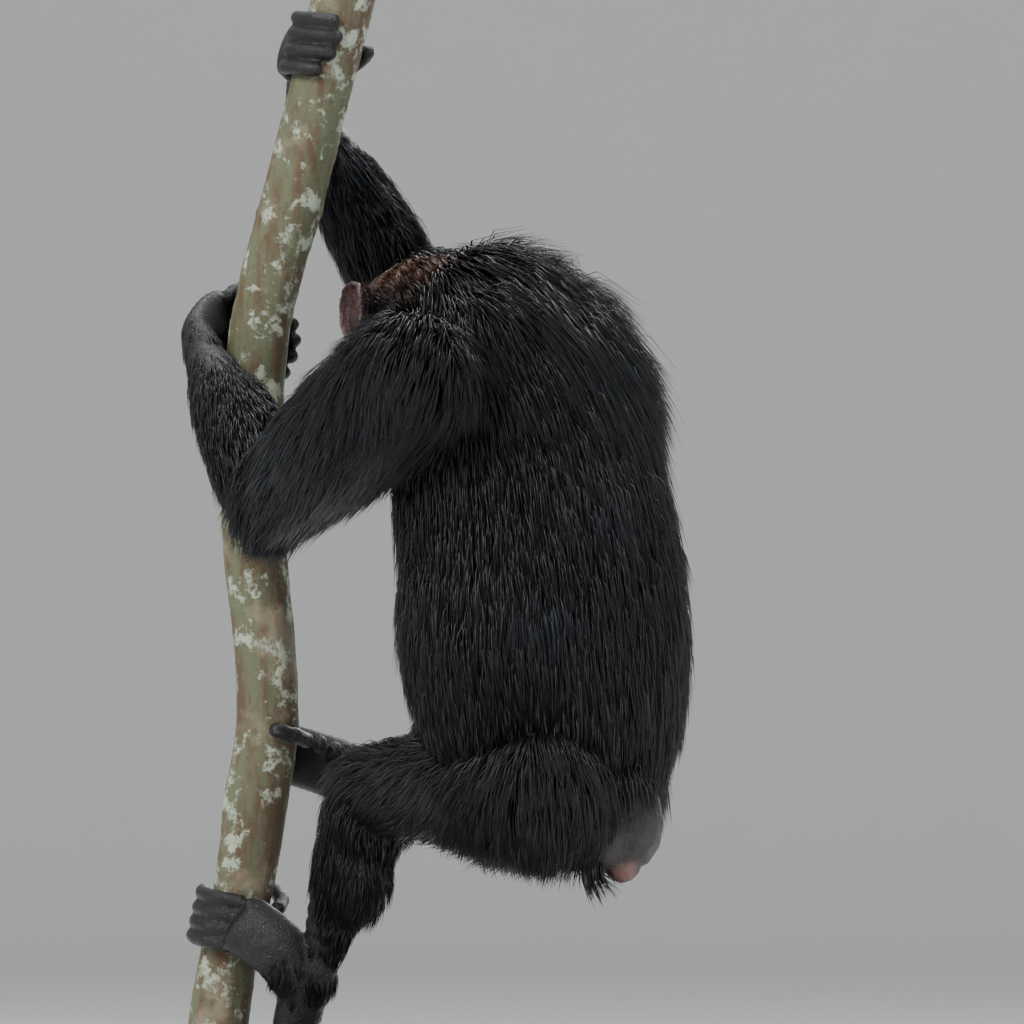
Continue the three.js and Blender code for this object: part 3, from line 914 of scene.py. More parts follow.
def soft_noise(points: np.ndarray, wavelength: float, seed: int) -> np.ndarray:
    """A smooth seeded noise of sums of waves, about -1 to 1.

    Args:
        points: Places in millimetres.
        wavelength: The length of a wave, in millimetres.
        seed: The seed.

    Returns:
        One value for each place.
    """
    draw = np.random.default_rng(seed)
    total = np.zeros(len(points))
    for _ in range(9):
        way = unit(draw.normal(size=3))
        turn = 2 * math.pi / (wavelength * draw.uniform(0.6, 1.7))
        total += np.sin(points @ way * turn + draw.uniform(0, 2 * math.pi))
    return total / 3.5


RUMP_MIDDLE = place(192, -213, 354)
RUMP_TALL = place(1, 1, 1.15)
HIP_MIDDLE = place(200, -200, 400)
MANE_MIDDLE = place(105, -70, 868)
FACE_MIDDLE = place(20, 0, -10)
EAR_MIDDLE = (-10.0, 8.0)
EAR_HALF = (55.0, 50.0)
# Where the pale painted highlight along each ear's outer rim starts and ends, in millimetres from the head's
# middle.
EAR_RIM_HIGHLIGHT = (79.5, 83.0)
HEAD_REACH = 125.0


@dataclass
class Markings:
    """Where the hair grows, how long it is, how it lies and what colour it has."""

    limbs: list[Limb] = field(default_factory=lambda: LIMBS)
    black: tuple[float, float, float] = (0.0032, 0.0034, 0.0044)
    # grey is painted sheen: patches of it in the black stand in for the glossy coat's highlights.
    grey: tuple[float, float, float] = (0.013, 0.0155, 0.021)
    brown: tuple[float, float, float] = (0.018, 0.0115, 0.008)
    crown: tuple[float, float, float] = (0.062, 0.024, 0.013)
    white: tuple[float, float, float] = (0.30, 0.28, 0.25)
    bare: tuple[float, float, float] = (0.0065, 0.006, 0.0068)
    face: tuple[float, float, float] = (0.060, 0.045, 0.038)
    rump: tuple[float, float, float] = (0.030, 0.026, 0.025)
    pink: tuple[float, float, float] = (0.19, 0.095, 0.082)
    # The ear's dark red is partly its own skin and partly a painted glow of light shining through it from
    # behind.
    ear: tuple[float, float, float] = (0.034, 0.010, 0.008)
    # A pale painted highlight along the ear's rim.
    rim_highlight: tuple[float, float, float] = (0.15, 0.11, 0.10)

    def head_frame(self, points: np.ndarray) -> np.ndarray:
        """Places in the head's own frame: forwards, left, up."""
        offset = points - HEAD_CENTRE
        return np.column_stack([offset @ HEAD_FORWARD, offset @ HEAD_LEFT, offset @ HEAD_UP])

    def head_share(self, points: np.ndarray) -> np.ndarray:
        """How much a place belongs to the head, 0 to 1."""
        own = self.head_frame(points)
        return 1 - smooth_step(away(own, FACE_MIDDLE), 84, 118)

    def bare_share(self, points: np.ndarray) -> np.ndarray:
        """How bare the skin is, 0 to 1: face, ears, rump, hands and feet.

        Args:
            points: Places in millimetres.

        Returns:
            One share for each place.
        """
        own = self.head_frame(points)
        brow = own[:, 0] - 0.35 * np.abs(own[:, 1]) - 0.25 * own[:, 2]
        chin = smooth_step(-own[:, 2], 50, 64) * smooth_step(own[:, 0], 30, 60)
        face = smooth_step(brow, 26, 38) * self.head_share(points) * (1 - 0.6 * chin)
        beside = np.abs(own[:, 0] - EAR_MIDDLE[0]) < EAR_HALF[0]
        level = np.abs(own[:, 2] - EAR_MIDDLE[1]) < EAR_HALF[1]
        ears = smooth_step(np.abs(own[:, 1]), 68, 74) * beside * level
        rump = 1 - smooth_step(np.linalg.norm((points - RUMP_MIDDLE) / RUMP_TALL, axis=1), 42, 58)
        hands = self.extremity_share(points)
        return np.clip(face + ears * self.near_head(points) + rump + hands, 0, 1)

    def mane_share(self, points: np.ndarray) -> np.ndarray:
        """How much a place belongs to the long hair over the shoulders, 0 to 1."""
        return 1 - smooth_step(away(points, MANE_MIDDLE), 70, 190)

    def near_head(self, points: np.ndarray) -> np.ndarray:
        """1 within an ear's reach of the head."""
        return (away(points, HEAD_CENTRE) < HEAD_REACH).astype(float)

    def extremity_share(self, points: np.ndarray) -> np.ndarray:
        """How much a place belongs to a hand or foot, 0 to 1, fading at the wrist or ankle.

        Args:
            points: Places in millimetres.

        Returns:
            One share for each place.
        """
        near = np.zeros(len(points))
        ends = (
            ("hand_left", WRIST_LEFT, ELBOW_LEFT, 12),
            ("hand_right", WRIST_RIGHT, ELBOW_RIGHT, 12),
            ("foot_left", ANKLE_LEFT, KNEE_LEFT, 22),
            ("foot_right", ANKLE_RIGHT, KNEE_RIGHT, 22),
        )
        for node, joint, above, start in ends:
            low, high = (np.array(corner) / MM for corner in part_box(node))
            inside = np.all((points > low - 7) & (points < high + 7), axis=1)
            way = unit(joint - above)
            past = (points - joint) @ way
            own = smooth_step(np.maximum(past, away(points, joint) - 38), start - 12, start + 14)
            near = np.maximum(near, own * inside)
        return near

    def field(self, points: np.ndarray) -> tuple[np.ndarray, np.ndarray, np.ndarray, np.ndarray]:
        """The lie, the hair's length, the nearest limb and the share along it.

        Args:
            points: Places on the skin, in millimetres.

        Returns:
            The lie as a vector each, the length in millimetres, the limb's index and the share.
        """
        total = np.zeros((len(points), 3))
        length = np.zeros(len(points))
        weight_sum = np.zeros(len(points))
        best = np.full(len(points), 1e9)
        index = np.zeros(len(points), int)
        share_best = np.zeros(len(points))
        for number, limb in enumerate(self.limbs):
            rows = limb.rows
            for i in range(len(rows) - 1):
                start = rows[i, :3]
                line = rows[i + 1, :3] - start
                share = np.clip((points - start) @ line / (line @ line), 0, 1)
                size = rows[i, 3:].mean() * (1 - share) + rows[i + 1, 3:].mean() * share
                gap = np.linalg.norm(points - start - share[:, None] * line, axis=1) / size
                weight = np.maximum(gap, 0.2) ** -9
                along = (i + share) / (len(rows) - 1)
                sag = (1 - smooth_step(along, 0.0, 0.42))[:, None] * (limb.lie is Lie.OUTWARD)
                bone_way = unit(line) * limb.lie.value * (1 - 0.85 * sag)
                total += weight[:, None] * (bone_way + place(*limb.first_way) * sag)
                length += weight * (limb.hair[0] * (1 - along) + limb.hair[1] * along)
                weight_sum += weight
                nearer = gap < best
                best[nearer] = gap[nearer]
                index[nearer] = number
                share_best[nearer] = along[nearer]
        lie = total / weight_sum[:, None]
        length = length / weight_sum
        head = self.head_share(points)[:, None]
        own = self.head_frame(points)
        back = -HEAD_FORWARD - 0.55 * HEAD_UP * smooth_step(-own[:, 2], -10, 50)[:, None]
        side = np.sign(own[:, 1])[:, None] * HEAD_LEFT * 0.35
        lie = lie * (1 - head) + (back + side) * head
        length = length * (1 - head[:, 0]) + (19 + 16 * smooth_step(-own[:, 0], 0, 55)) * head[:, 0]
        length = length * (1 + 0.45 * self.mane_share(points))
        return lie, length, index, share_best

    def hair_colour(self, points: np.ndarray, seed: int) -> np.ndarray:
        """The coat's colour at its roots, with patches of painted sheen.

        Args:
            points: Places in millimetres.
            seed: The seed of its patches.

        Returns:
            One colour for each place.
        """
        own = self.head_frame(points)
        head = self.head_share(points)
        colour = np.tile(np.array(self.black), (len(points), 1))

        def lay(share: np.ndarray, tone: Sequence[float]) -> None:
            """Mixes a tone in by its share.

            Args:
                share: How much of the tone.
                tone: The tone.
            """
            nonlocal colour
            share = np.clip(share, 0, 1)[:, None]
            colour = colour * (1 - share) + np.array(tone) * share

        # Painted sheen: random patches of bluish grey over the black stand in for the light that the glossy
        # coat reflects.
        sheen = 0.18 + 0.30 * soft_noise(points, 160, seed)
        lay(np.clip(sheen, 0, 0.75), self.grey)
        rump = 1 - smooth_step(away(points, HIP_MIDDLE), 60, 190)
        lay(rump * 0.3, self.brown)
        lay(0.25 * smooth_step(soft_noise(points, 220, seed + 1), 0.1, 1.0), self.brown)
        lay(head * smooth_step(own[:, 2], 10, 48) * 0.8, self.crown)
        cheek = head * smooth_step(-own[:, 2], -6, 30) * smooth_step(own[:, 0], -45, 5)
        lay(cheek * 0.6, self.white)
        lay(head * smooth_step(-own[:, 2], 45, 75) * smooth_step(own[:, 0], 30, 70), self.white)
        return colour

    def skin_colour(self, points: np.ndarray) -> np.ndarray:
        """The skin's colour, with the same marks under the hair and painted light on the ears.

        Args:
            points: Places in millimetres.

        Returns:
            One colour for each place.
        """
        bare = self.bare_share(points)[:, None]
        under = self.hair_colour(points, SEED) * 0.7
        own = self.head_frame(points)
        near = self.near_head(points)
        tone = np.tile(np.array(self.bare), (len(points), 1))
        face = (self.head_share(points) * near)[:, None]
        tone = tone * (1 - face) + np.array(self.face) * face
        muzzle = smooth_step(own[:, 0], 74, 98)[:, None] * near[:, None]
        tone = tone * (1 + 0.35 * muzzle)
        # The ears' dark red: partly their skin, partly a painted glow of light shining through them.
        ears = (smooth_step(np.abs(own[:, 1]), 66, 74) * near)[:, None]
        tone = tone * (1 - ears) + np.array(self.ear) * ears
        # Painted highlight: a pale band along the outer rim of each ear.
        edge = smooth_step(np.abs(own[:, 1]), *EAR_RIM_HIGHLIGHT)[:, None] * ears
        tone = tone * (1 - edge) + np.array(self.rim_highlight) * edge
        rump = (1 - smooth_step(away(points, RUMP_MIDDLE), 44, 62))[:, None]
        tone = tone * (1 - rump) + np.array(self.rump) * rump
        low = (1 - smooth_step(points[:, 2] + 6 * soft_noise(points, 30, 8), 308, 322))[:, None] * rump
        tone = tone * (1 - low) + np.array(self.pink) * low
        return under * (1 - bare) + tone * bare


@dataclass
class FaceFolds:
    """The creases of the face, as a depth in millimetres at places in the head's frame."""

    eye: tuple[float, float] = (20.0, 9.0)
    lid: float = 14.5
    bags: tuple[tuple[float, float], ...] = ((17.5, 0.9), (22.0, 0.8), (27.0, 0.6))
    forehead: tuple[float, ...] = (37.0, 41.5, 46.5, 52.0)
    frown: float = 5.5
    bridge_pitch: float = 4.6
    cheeks: tuple[tuple[float, float, float, float], ...] = ((15, 0.55, 1.0, 2.2), (22, 0.60, 0.7, 1.8))
    lip_pitch: float = 4.2

    def reach(self, markings: Markings, points: np.ndarray) -> np.ndarray:
        """Where the creases are, 0 to 1.

        Args:
            markings: Where the skin is bare.
            points: Places in millimetres.

        Returns:
            One share for each place.
        """
        own = markings.head_frame(points)
        ear = smooth_step(np.abs(own[:, 1]), 54, 62)
        face = markings.bare_share(points) * markings.near_head(points)
        return face * (1 - ear) * smooth_step(own[:, 0], 15, 30)

    def groove(self, offset: np.ndarray, width: float) -> np.ndarray:
        """A rounded groove of depth 1 along the line where the offset is 0."""
        return -np.exp(-((offset / width) ** 2))

    def depth(self, own: np.ndarray) -> np.ndarray:
        """The height of the creased skin over the smooth one, in millimetres.

        Args:
            own: Places in the head's own frame, in millimetres.

        Returns:
            One height for each place.
        """
        forward, side, up = own[:, 0], np.abs(own[:, 1]), own[:, 2]
        across, rise = side - self.eye[0], up - self.eye[1]
        ring = np.hypot(across, rise * 1.15)
        under = smooth_step(-rise, -3, 6)
        over = smooth_step(rise, -1, 6)
        total = 0.7 * self.groove(ring - self.lid, 1.2) * over
        for radius, deep in self.bags:
            total += deep * self.groove(ring - radius + 0.12 * across, 1.5) * under
        outer = np.arctan2(rise, np.maximum(across, 0.1))
        feet = smooth_step(across, 12, 18) * (1 - smooth_step(across, 30, 42))
        total += 0.45 * np.cos(outer * 15) * feet
        wave = 1.4 * np.sin(side / 9)
        for height in self.forehead:
            total += 0.55 * self.groove(up - height - wave, 1.3) * (1 - smooth_step(side, 26, 40))
        between = smooth_step(up, 12, 18) * (1 - smooth_step(up, 34, 40))
        total += 0.8 * self.groove(side - self.frown, 1.4) * between
        bridge = smooth_step(up, -14, -8) * (1 - smooth_step(up, 10, 16)) * (1 - smooth_step(side, 9, 15))
        total += 0.35 * np.cos(up * 2 * math.pi / self.bridge_pitch) * bridge
        cheek = smooth_step(forward, 62, 76) * smooth_step(-up, 14, 24)
        for start, slope, deep, wide in self.cheeks:
            total += deep * self.groove(side - start - slope * (-up - 20), wide) * cheek
        lip = smooth_step(forward, 78, 92) * smooth_step(-up, 24, 34)
        return total + 0.20 * np.cos(own[:, 1] * 2 * math.pi / self.lip_pitch) * lip


@dataclass
class Hide:
    """One skin over the whole animal."""

    markings: Markings
    voxel: float = 0.0022
    keep_triangles: int = 150000
    folds: FaceFolds = field(default_factory=FaceFolds)
    ball_spacing: float = 12.0
    digit_spacing: float = 4.5
    smoothings: int = 10

    def bodies(self) -> bmesh.types.BMesh:
        """The flesh, hands and feet as overlapping balls, with the head, ears and rump of the frame.

        Returns:
            The bmesh of all of them.
        """
        made = bmesh.new()
        for limb in self.markings.limbs:
            for centre, axes, sizes in limb.balls(self.ball_spacing):
                self.ball(made, centre, axes, sizes)
        for part in EXTREMITIES:
            shapes = [Limb(part.name, part.sole, part.side, 0, (0, 0))]
            shapes += [Limb(part.name, digit.rows(), place(0, 0, 1), 0, (0, 0)) for digit in part.digits]
            for shape in shapes:
                for centre, axes, sizes in shape.balls(self.digit_spacing):
                    self.ball(made, centre, axes, sizes)
        for centre, sizes in self.muscles():
            self.ball(made, centre, np.eye(3), sizes)
        for node in COPIED_NODES:
            merged_copy(made, node)
        return made

    def ball(self, made: bmesh.types.BMesh, centre: np.ndarray, axes: np.ndarray, sizes: np.ndarray) -> None:
        """Adds one stretched ball, in millimetres.

        Args:
            made: The bmesh to add to.
            centre: Its middle.
            axes: Its three axes.
            sizes: Its half-sizes along them.
        """
        turned = Matrix([list(row) for row in axes * (sizes * MM)]).to_4x4()
        matrix = Matrix.Translation(Vector(centre * MM)) @ turned
        fine = 3 if max(sizes) > 20 else 2
        bmesh.ops.create_icosphere(made, subdivisions=fine, radius=1.0, matrix=matrix)

    def muscles(self) -> list[tuple[np.ndarray, np.ndarray]]:
        """Places and half-sizes of the shoulder blades, left calf, left buttock, wrists and heels.

        Returns:
            A place and half-sizes for each.
        """
        return [
            (place(44, -196, 772), place(62, 52, 124) - 14),
            (place(104, -58, 790), place(56, 52, 112) - 14),
            (0.62 * KNEE_LEFT + 0.38 * ANKLE_LEFT + place(8, -8, 0), place(36, 36, 60)),
            (place(150, -212, 404), place(58, 50, 56)),
            (0.9 * WRIST_LEFT + 0.1 * ELBOW_LEFT, place(20, 20, 24)),
            (0.9 * WRIST_RIGHT + 0.1 * ELBOW_RIGHT, place(19, 19, 24)),
            (0.93 * ANKLE_LEFT + 0.07 * KNEE_LEFT, place(24, 24, 30)),
            (0.93 * ANKLE_RIGHT + 0.07 * KNEE_RIGHT, place(24, 24, 28)),
        ]

    def build(self) -> bpy.types.Object:
        """Makes the skin, tints it and puts it in the flesh nodes' place.

        Returns:
            The skin.
        """
        voxel = self.voxel * 1.0
        remesh = {"mode": "VOXEL", "voxel_size": voxel, "adaptivity": 0.0, "use_smooth_shade": True}
        smooth = {"factor": 0.5, "iterations": 2}
        mesh = through_modifiers(self.bodies(), [("REMESH", remesh), ("SMOOTH", smooth)])
        triangles = len(mesh.polygons) * 2
        if triangles > self.keep_triangles:
            made = bmesh.new()
            made.from_mesh(mesh)
            mesh = through_modifiers(made, [("DECIMATE", {"ratio": self.keep_triangles / triangles})])
        self.soften(mesh)
        self.refine_face(mesh)
        shade_smooth(mesh)
        set_tint(mesh, self.markings.skin_colour(corners_of(mesh)))
        piece = keep_mesh("skin", mesh, SkinFinish().make())
        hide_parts(*FLESH_NODES)
        return piece

    def refine_face(self, mesh: bpy.types.Mesh) -> None:
        """Divides the face's mesh more finely and presses its folds in.

        Args:
            mesh: The mesh, changed in place.
        """
        made = bmesh.new()
        made.from_mesh(mesh)
        bare = self.folds.reach(self.markings, corners_of(mesh)) > 0.05
        made.verts.ensure_lookup_table()
        edges = [edge for edge in made.edges if all(bare[vert.index] for vert in edge.verts)]
        bmesh.ops.subdivide_edges(made, edges=edges, cuts=1, use_grid_fill=True, smooth=0.0)
        bmesh.ops.triangulate(made, faces=[face for face in made.faces if len(face.verts) > 4])
        made.to_mesh(mesh)
        made.free()
        mesh.update()
        points = corners_of(mesh)
        depth = self.folds.depth(self.markings.head_frame(points)) * self.folds.reach(self.markings, points)
        mesh.vertices.foreach_set("co", ((points + normals_of(mesh) * depth[:, None]) * MM).ravel())
        mesh.update()

    def soften(self, mesh: bpy.types.Mesh) -> None:
        """Smooths the furry parts more than the face, hands and feet.

        Args:
            mesh: The mesh, changed in place.
        """
        made = bmesh.new()
        made.from_mesh(mesh)
        bare = self.markings.bare_share(corners_of(mesh))
        head = self.markings.head_share(corners_of(mesh))
        soft = [v for v, b, h in zip(made.verts, bare, head) if b < 0.2 and h < 0.6]
        axes = {"use_axis_x": True, "use_axis_y": True, "use_axis_z": True}
        for _ in range(self.smoothings):
            bmesh.ops.smooth_vert(made, verts=soft, factor=0.6, **axes)
        made.to_mesh(mesh)
        made.free()


@dataclass
class Coat:
    """The hair: thin tapered tufts over the skin, in several joined pieces."""

    skin: bpy.types.Object
    markings: Markings
    tufts: int = 142000
    pieces: int = 8
    clumps: int = 4200
    patch: float = 0.003
    hang: float = 0.35
    stray: float = 0.16
    lift: float = 0.34
    lift_spread: float = 0.10
    half_width: float = 1.0
    shades: tuple[float, float] = (0.6, 1.5)

    def roots(self, draw: np.random.Generator) -> tuple[np.ndarray, np.ndarray]:
        """Seeded places on the skin and the way out of it, thinned where the skin is bare.

        Args:
            draw: The random draws.

        Returns:
            The places and the ways out.
        """
        mesh = self.skin.data
        mesh.calc_loop_triangles()
        count = len(mesh.loop_triangles)
        corners = np.empty(count * 3, dtype=np.int32)
        mesh.loop_triangles.foreach_get("vertices", corners)
        places = corners_of(mesh)[corners.reshape(-1, 3)]
        across = np.cross(places[:, 1] - places[:, 0], places[:, 2] - places[:, 0])
        area = np.linalg.norm(across, axis=1) / 2
        middle = places.mean(axis=1)
        wanted = area * np.clip(1 - self.markings.bare_share(middle), 0, 1)
        wanted *= 1 + 1.2 * self.markings.head_share(middle)
        chosen = draw.choice(count, size=self.tufts, p=wanted / wanted.sum())
        first = np.sqrt(draw.random(self.tufts))[:, None]
        second = draw.random(self.tufts)[:, None]
        tri = places[chosen]
        root = (1 - first) * tri[:, 0] + first * (1 - second) * tri[:, 1] + first * second * tri[:, 2]
        return root, unit(across[chosen])

    def build(self) -> list[bpy.types.Object]:
        """Makes every piece of the coat.

        Returns:
            The pieces.
        """
        draw = np.random.default_rng(SEED)
        root, out = self.roots(draw)
        lie, length, limb, share = self.markings.field(root)
        down = place(0, 0, -1)
        way = lie + self.hang * down + self.stray * draw.normal(size=root.shape)
        way = unit(way - out * np.sum(way * out, axis=1, keepdims=True))
        bare = self.markings.bare_share(root)
        length = length * (1 - 0.75 * bare) * draw.uniform(0.7, 1.2, len(root))
        lift = self.lift + self.lift_spread * draw.normal(size=len(root))
        lift = np.clip(lift, 0.12, 0.65) * (1 - 0.4 * self.markings.head_share(root))
        lift *= 0.42 + 0.58 * np.clip((length - 18) / 30, 0, 1) + 0.5 * self.markings.mane_share(root)
        start = root - out * 2.0
        spine = self.spines(start, out, way, length, lift)
        spine = self.gather(spine, root, draw)
        flat = unit(np.cross(out, way))
        colour = self.markings.hair_colour(root, SEED)
        colour *= draw.uniform(*self.shades, (len(root), 1))
        chart = self.chart(root, limb, share)
        order = np.argsort(limb + share, kind="stable")
        pieces = []
        for number, chosen in enumerate(np.array_split(order, self.pieces)):
            width = self.half_width * (0.55 + 0.45 * np.clip(length[chosen] / 40, 0, 1.2))
            own = (values[chosen] for values in (spine, flat, out))
            mesh = self.tuft_mesh(*own, width, colour[chosen], chart[chosen])
            pieces.append(keep_mesh(f"coat_{number + 1}", mesh, COAT_MATERIAL()))
        return pieces

    def spines(
        self, start: np.ndarray, out: np.ndarray, way: np.ndarray, length: np.ndarray, lift: np.ndarray
    ) -> np.ndarray:
        """Each tuft's middle line, from the root out and then along the body, drooping a little.

        Args:
            start: The roots.
            out: The way out of the skin.
            way: How the hair lies.
            length: The lengths of the tufts.
            lift: How steeply they leave the skin.

        Returns:
            The middle lines.
        """
        steps = np.array([0.0, 0.5, 1.0])[None, :, None]
        rise = (lift * length)[:, None, None] * (1.5 * steps - 0.85 * steps**2)
        run = length[:, None, None] * (0.35 * steps + 0.62 * steps**1.4)
        droop = (0.12 * length)[:, None, None] * steps**2
        return start[:, None] + out[:, None] * rise + way[:, None] * run + place(0, 0, -1) * droop

    def gather(self, spine: np.ndarray, root: np.ndarray, draw: np.random.Generator) -> np.ndarray:
        """Draws the tips of neighbouring tufts together into coarse clumps.

        Args:
            spine: The tufts' middle lines.
            root: Their roots.
            draw: The random draws.

        Returns:
            The drawn middle lines.
        """
        seeds = draw.choice(len(root), self.clumps, replace=False)
        nearest = np.empty(len(root), int)
        for block in np.array_split(np.arange(len(root)), 60):
            apart = ((root[block, None] - root[None, seeds]) ** 2).sum(axis=2)
            nearest[block] = seeds[np.argmin(apart, axis=1)]
        close = away(root, root[nearest]) < 30
        pull = np.array([0.0, 0.16, 0.34])[None, :, None] * close[:, None, None]
        return spine * (1 - pull) + spine[nearest] * pull

    def chart(self, root: np.ndarray, limb: np.ndarray, share: np.ndarray) -> np.ndarray:
        """An unwrap of the skin: each length of the body is a tile, opened round its bone.

        Args:
            root: The roots.
            limb: The limb of each.
            share: How far along it each is.

        Returns:
            A place on the tiles for each root.
        """
        where = np.zeros((len(root), 2))
        columns = 4
        for number, part in enumerate(self.markings.limbs):
            own = limb == number
            rows = spline(part.rows, share[own])
            before, after = (spline(part.rows, share[own] + step)[:, :3] for step in (-0.02, 0.02))
            ahead = unit(after - before)
            side = unit(part.side - ahead * (ahead @ part.side)[:, None])
            across = np.cross(ahead, side)
            offset = root[own] - rows[:, :3]
            angle = np.arctan2((offset * across).sum(axis=1), (offset * side).sum(axis=1))
            turn = angle / (2 * math.pi) + 0.5
            tile = np.array([number % columns, number // columns]) / columns
            where[own] = tile + (0.02 + 0.96 * np.column_stack([turn, share[own]])) / columns
        return where

    def tuft_mesh(
        self,
        spine: np.ndarray,
        flat: np.ndarray,
        out: np.ndarray,
        width: np.ndarray,
        colour: np.ndarray,
        chart: np.ndarray,
    ) -> bpy.types.Mesh:
        """Joins many tufts: three-sided, flat, tapered to a point, closed at the root.

        Args:
            spine: Three points of each tuft's middle line.
            flat: The way across each tuft.
            out: The way out of the skin at its root.
            width: Half its width.
            colour: Its colour.
            chart: Its place on the unwrap.

        Returns:
            The joined mesh.
        """
        count = len(spine)
        taper = np.array([0.75, 1.0])
        corners = np.empty((count, 7, 3))
        for ring in range(2):
            half = (width * taper[ring])[:, None]
            middle = spine[:, ring]
            corners[:, ring * 3] = middle - flat * half
            corners[:, ring * 3 + 1] = middle + flat * half
            corners[:, ring * 3 + 2] = middle + out * half * 0.6
        corners[:, 6] = spine[:, 2]
        faces = [(0, 2, 1)]
        for a, b in ((0, 1), (1, 2), (2, 0)):
            faces += [(a, b, b + 3), (a, b + 3, a + 3), (a + 3, b + 3, 6)]
        pattern = np.array(faces)
        index = (pattern[None] + (np.arange(count) * 7)[:, None, None]).reshape(-1, 3)
        mesh = bpy.data.meshes.new("tufts")
        mesh.vertices.add(count * 7)
        mesh.vertices.foreach_set("co", (corners * MM).ravel())
        mesh.loops.add(len(index) * 3)
        mesh.loops.foreach_set("vertex_index", index.ravel().astype(np.int32))
        mesh.polygons.add(len(index))
        mesh.polygons.foreach_set("loop_start", np.arange(0, len(index) * 3, 3, dtype=np.int32))
        mesh.polygons.foreach_set("use_smooth", np.ones(len(index), dtype=bool))
        mesh.update(calc_edges=True)
        # Painted shade and light: each tuft is darker at its root, deep in the coat, and lighter at its tip.
        shade = np.array([0.55] * 3 + [1.0] * 3 + [1.35])
        set_tint(mesh, (colour[:, None] * shade[None, :, None]).reshape(-1, 3))
        spread = np.column_stack([np.tile([0, 1, 0.5], 2), np.repeat([0, 0.5], 3)])
        spread = np.vstack([spread, [0.5, 1.0]]) * self.patch - self.patch / 2
        layout = mesh.uv_layers.new(name="OFBake")
        spots = (chart[:, None] + spread[None]).reshape(-1, 2)
        layout.data.foreach_set("uv", spots[index.ravel()].ravel())
        return mesh


class SharedMaterial:
    """A material that is made once and shared."""

    def __init__(self, make: Callable[[], bpy.types.Material]) -> None:
        """Keeps how to make it."""
        self.make = make
        self.made: Optional[bpy.types.Material] = None

    def __call__(self) -> bpy.types.Material:
        """The material, made on the first call.

        Returns:
            The material.
        """
        if self.made is None:
            self.made = self.make()
        return self.made


COAT_MATERIAL = SharedMaterial(CoatFinish().make)


@dataclass
class Eyes:
    """Two brown eyes, each a ball with a raised cornea, in the place of the frame's."""

    radius: float = 11.0
    forwards: float = 49.0
    apart: float = 19.0
    height: float = 10.0

    def build(self) -> list[bpy.types.Object]:
        """Makes both eyes.

        Returns:
            The left and the right eye.
        """
        pieces = []
        for name, side in (("left", 1), ("right", -1)):
            centre = head_point(self.forwards, side * self.apart, self.height)
            made = bmesh.new()
            bmesh.ops.create_uvsphere(made, u_segments=40, v_segments=28, radius=self.radius * MM)
            way = Vector(unit(HEAD_FORWARD + HEAD_LEFT * 0.06 * side))
            for vert in made.verts:
                facing = vert.co.normalized().dot(way)
                vert.co *= 1 + 0.05 * float(smooth_step(np.array([facing]), 0.84, 0.97)[0])
            bmesh.ops.translate(made, verts=made.verts, vec=Vector(centre * MM))
            mesh = smooth_mesh(made, "eye")
            finish = EyeFinish(tuple(centre * MM), tuple(way), f"eye_{name}_gloss")
            piece = keep_mesh(f"eyeball_{name}", mesh, finish.make())
            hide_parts(f"eye_{name}")
            pieces.append(piece)
        return pieces


@dataclass
class Nails:
    """A small domed nail on the back of every finger and toe."""

    share: float = 0.93
    sizes: tuple[float, float, float] = (0.62, 0.80, 0.28)

    def build(self) -> bpy.types.Object:
        """Makes all the nails as one piece.

        Returns:
            The nails.
        """
        made = bmesh.new()
        for part in EXTREMITIES:
            for digit in part.digits:
                tip, size = digit.path(self.share)
                way = unit(tip - digit.path(self.share - 0.08)[0])
                out = (tip - perch_at(tip[2])) * place(1, 1, 0)
                out = unit(out - way * out.dot(way))
                axes = np.column_stack([np.cross(out, way), way, out]) * (np.array(self.sizes) * size * MM)
                turned = Matrix([list(line) for line in axes]).to_4x4()
                middle = Matrix.Translation(Vector((tip + out * size * 0.78) * MM))
                bmesh.ops.create_icosphere(made, subdivisions=3, radius=1.0, matrix=middle @ turned)
        return keep_mesh("nails", smooth_mesh(made, "nails"), NailFinish().make())


@dataclass
class Sapling:
    """The cut length of sapling that the animal clings to."""

    voxel: float = 0.0032

    def build(self) -> bpy.types.Object:
        """Makes the bark's fine surface over the frame's trunk.

        Returns:
            The bark.
        """
        made = bmesh.new()
        merged_copy(made, "perch_trunk")
        mesh = through_modifiers(
            made,
            [
                ("REMESH", {"mode": "VOXEL", "voxel_size": self.voxel, "use_smooth_shade": True}),
                ("SMOOTH", {"factor": 0.5, "iterations": 3}),
            ],
        )
        points = corners_of(mesh)
        normals = normals_of(mesh)
        ends = np.abs(normals[:, 2]) > 0.8
        rise = 0.35 * soft_noise(points * place(1, 1, 0.35), 18, 5) + 0.25 * soft_noise(points, 7, 6) - 0.2
        rise += 0.8 * np.exp(-(((points[:, 2] - 992 - 6 * np.sin(points[:, 0] / 9)) / 5) ** 2))
        rise[ends] = 0.0
        mesh.vertices.foreach_set("co", ((points + normals * rise[:, None]) * MM).ravel())
        mesh.update()
        piece = keep_mesh("sapling", mesh, BarkFinish().make())
        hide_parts("perch_trunk")
        return piece


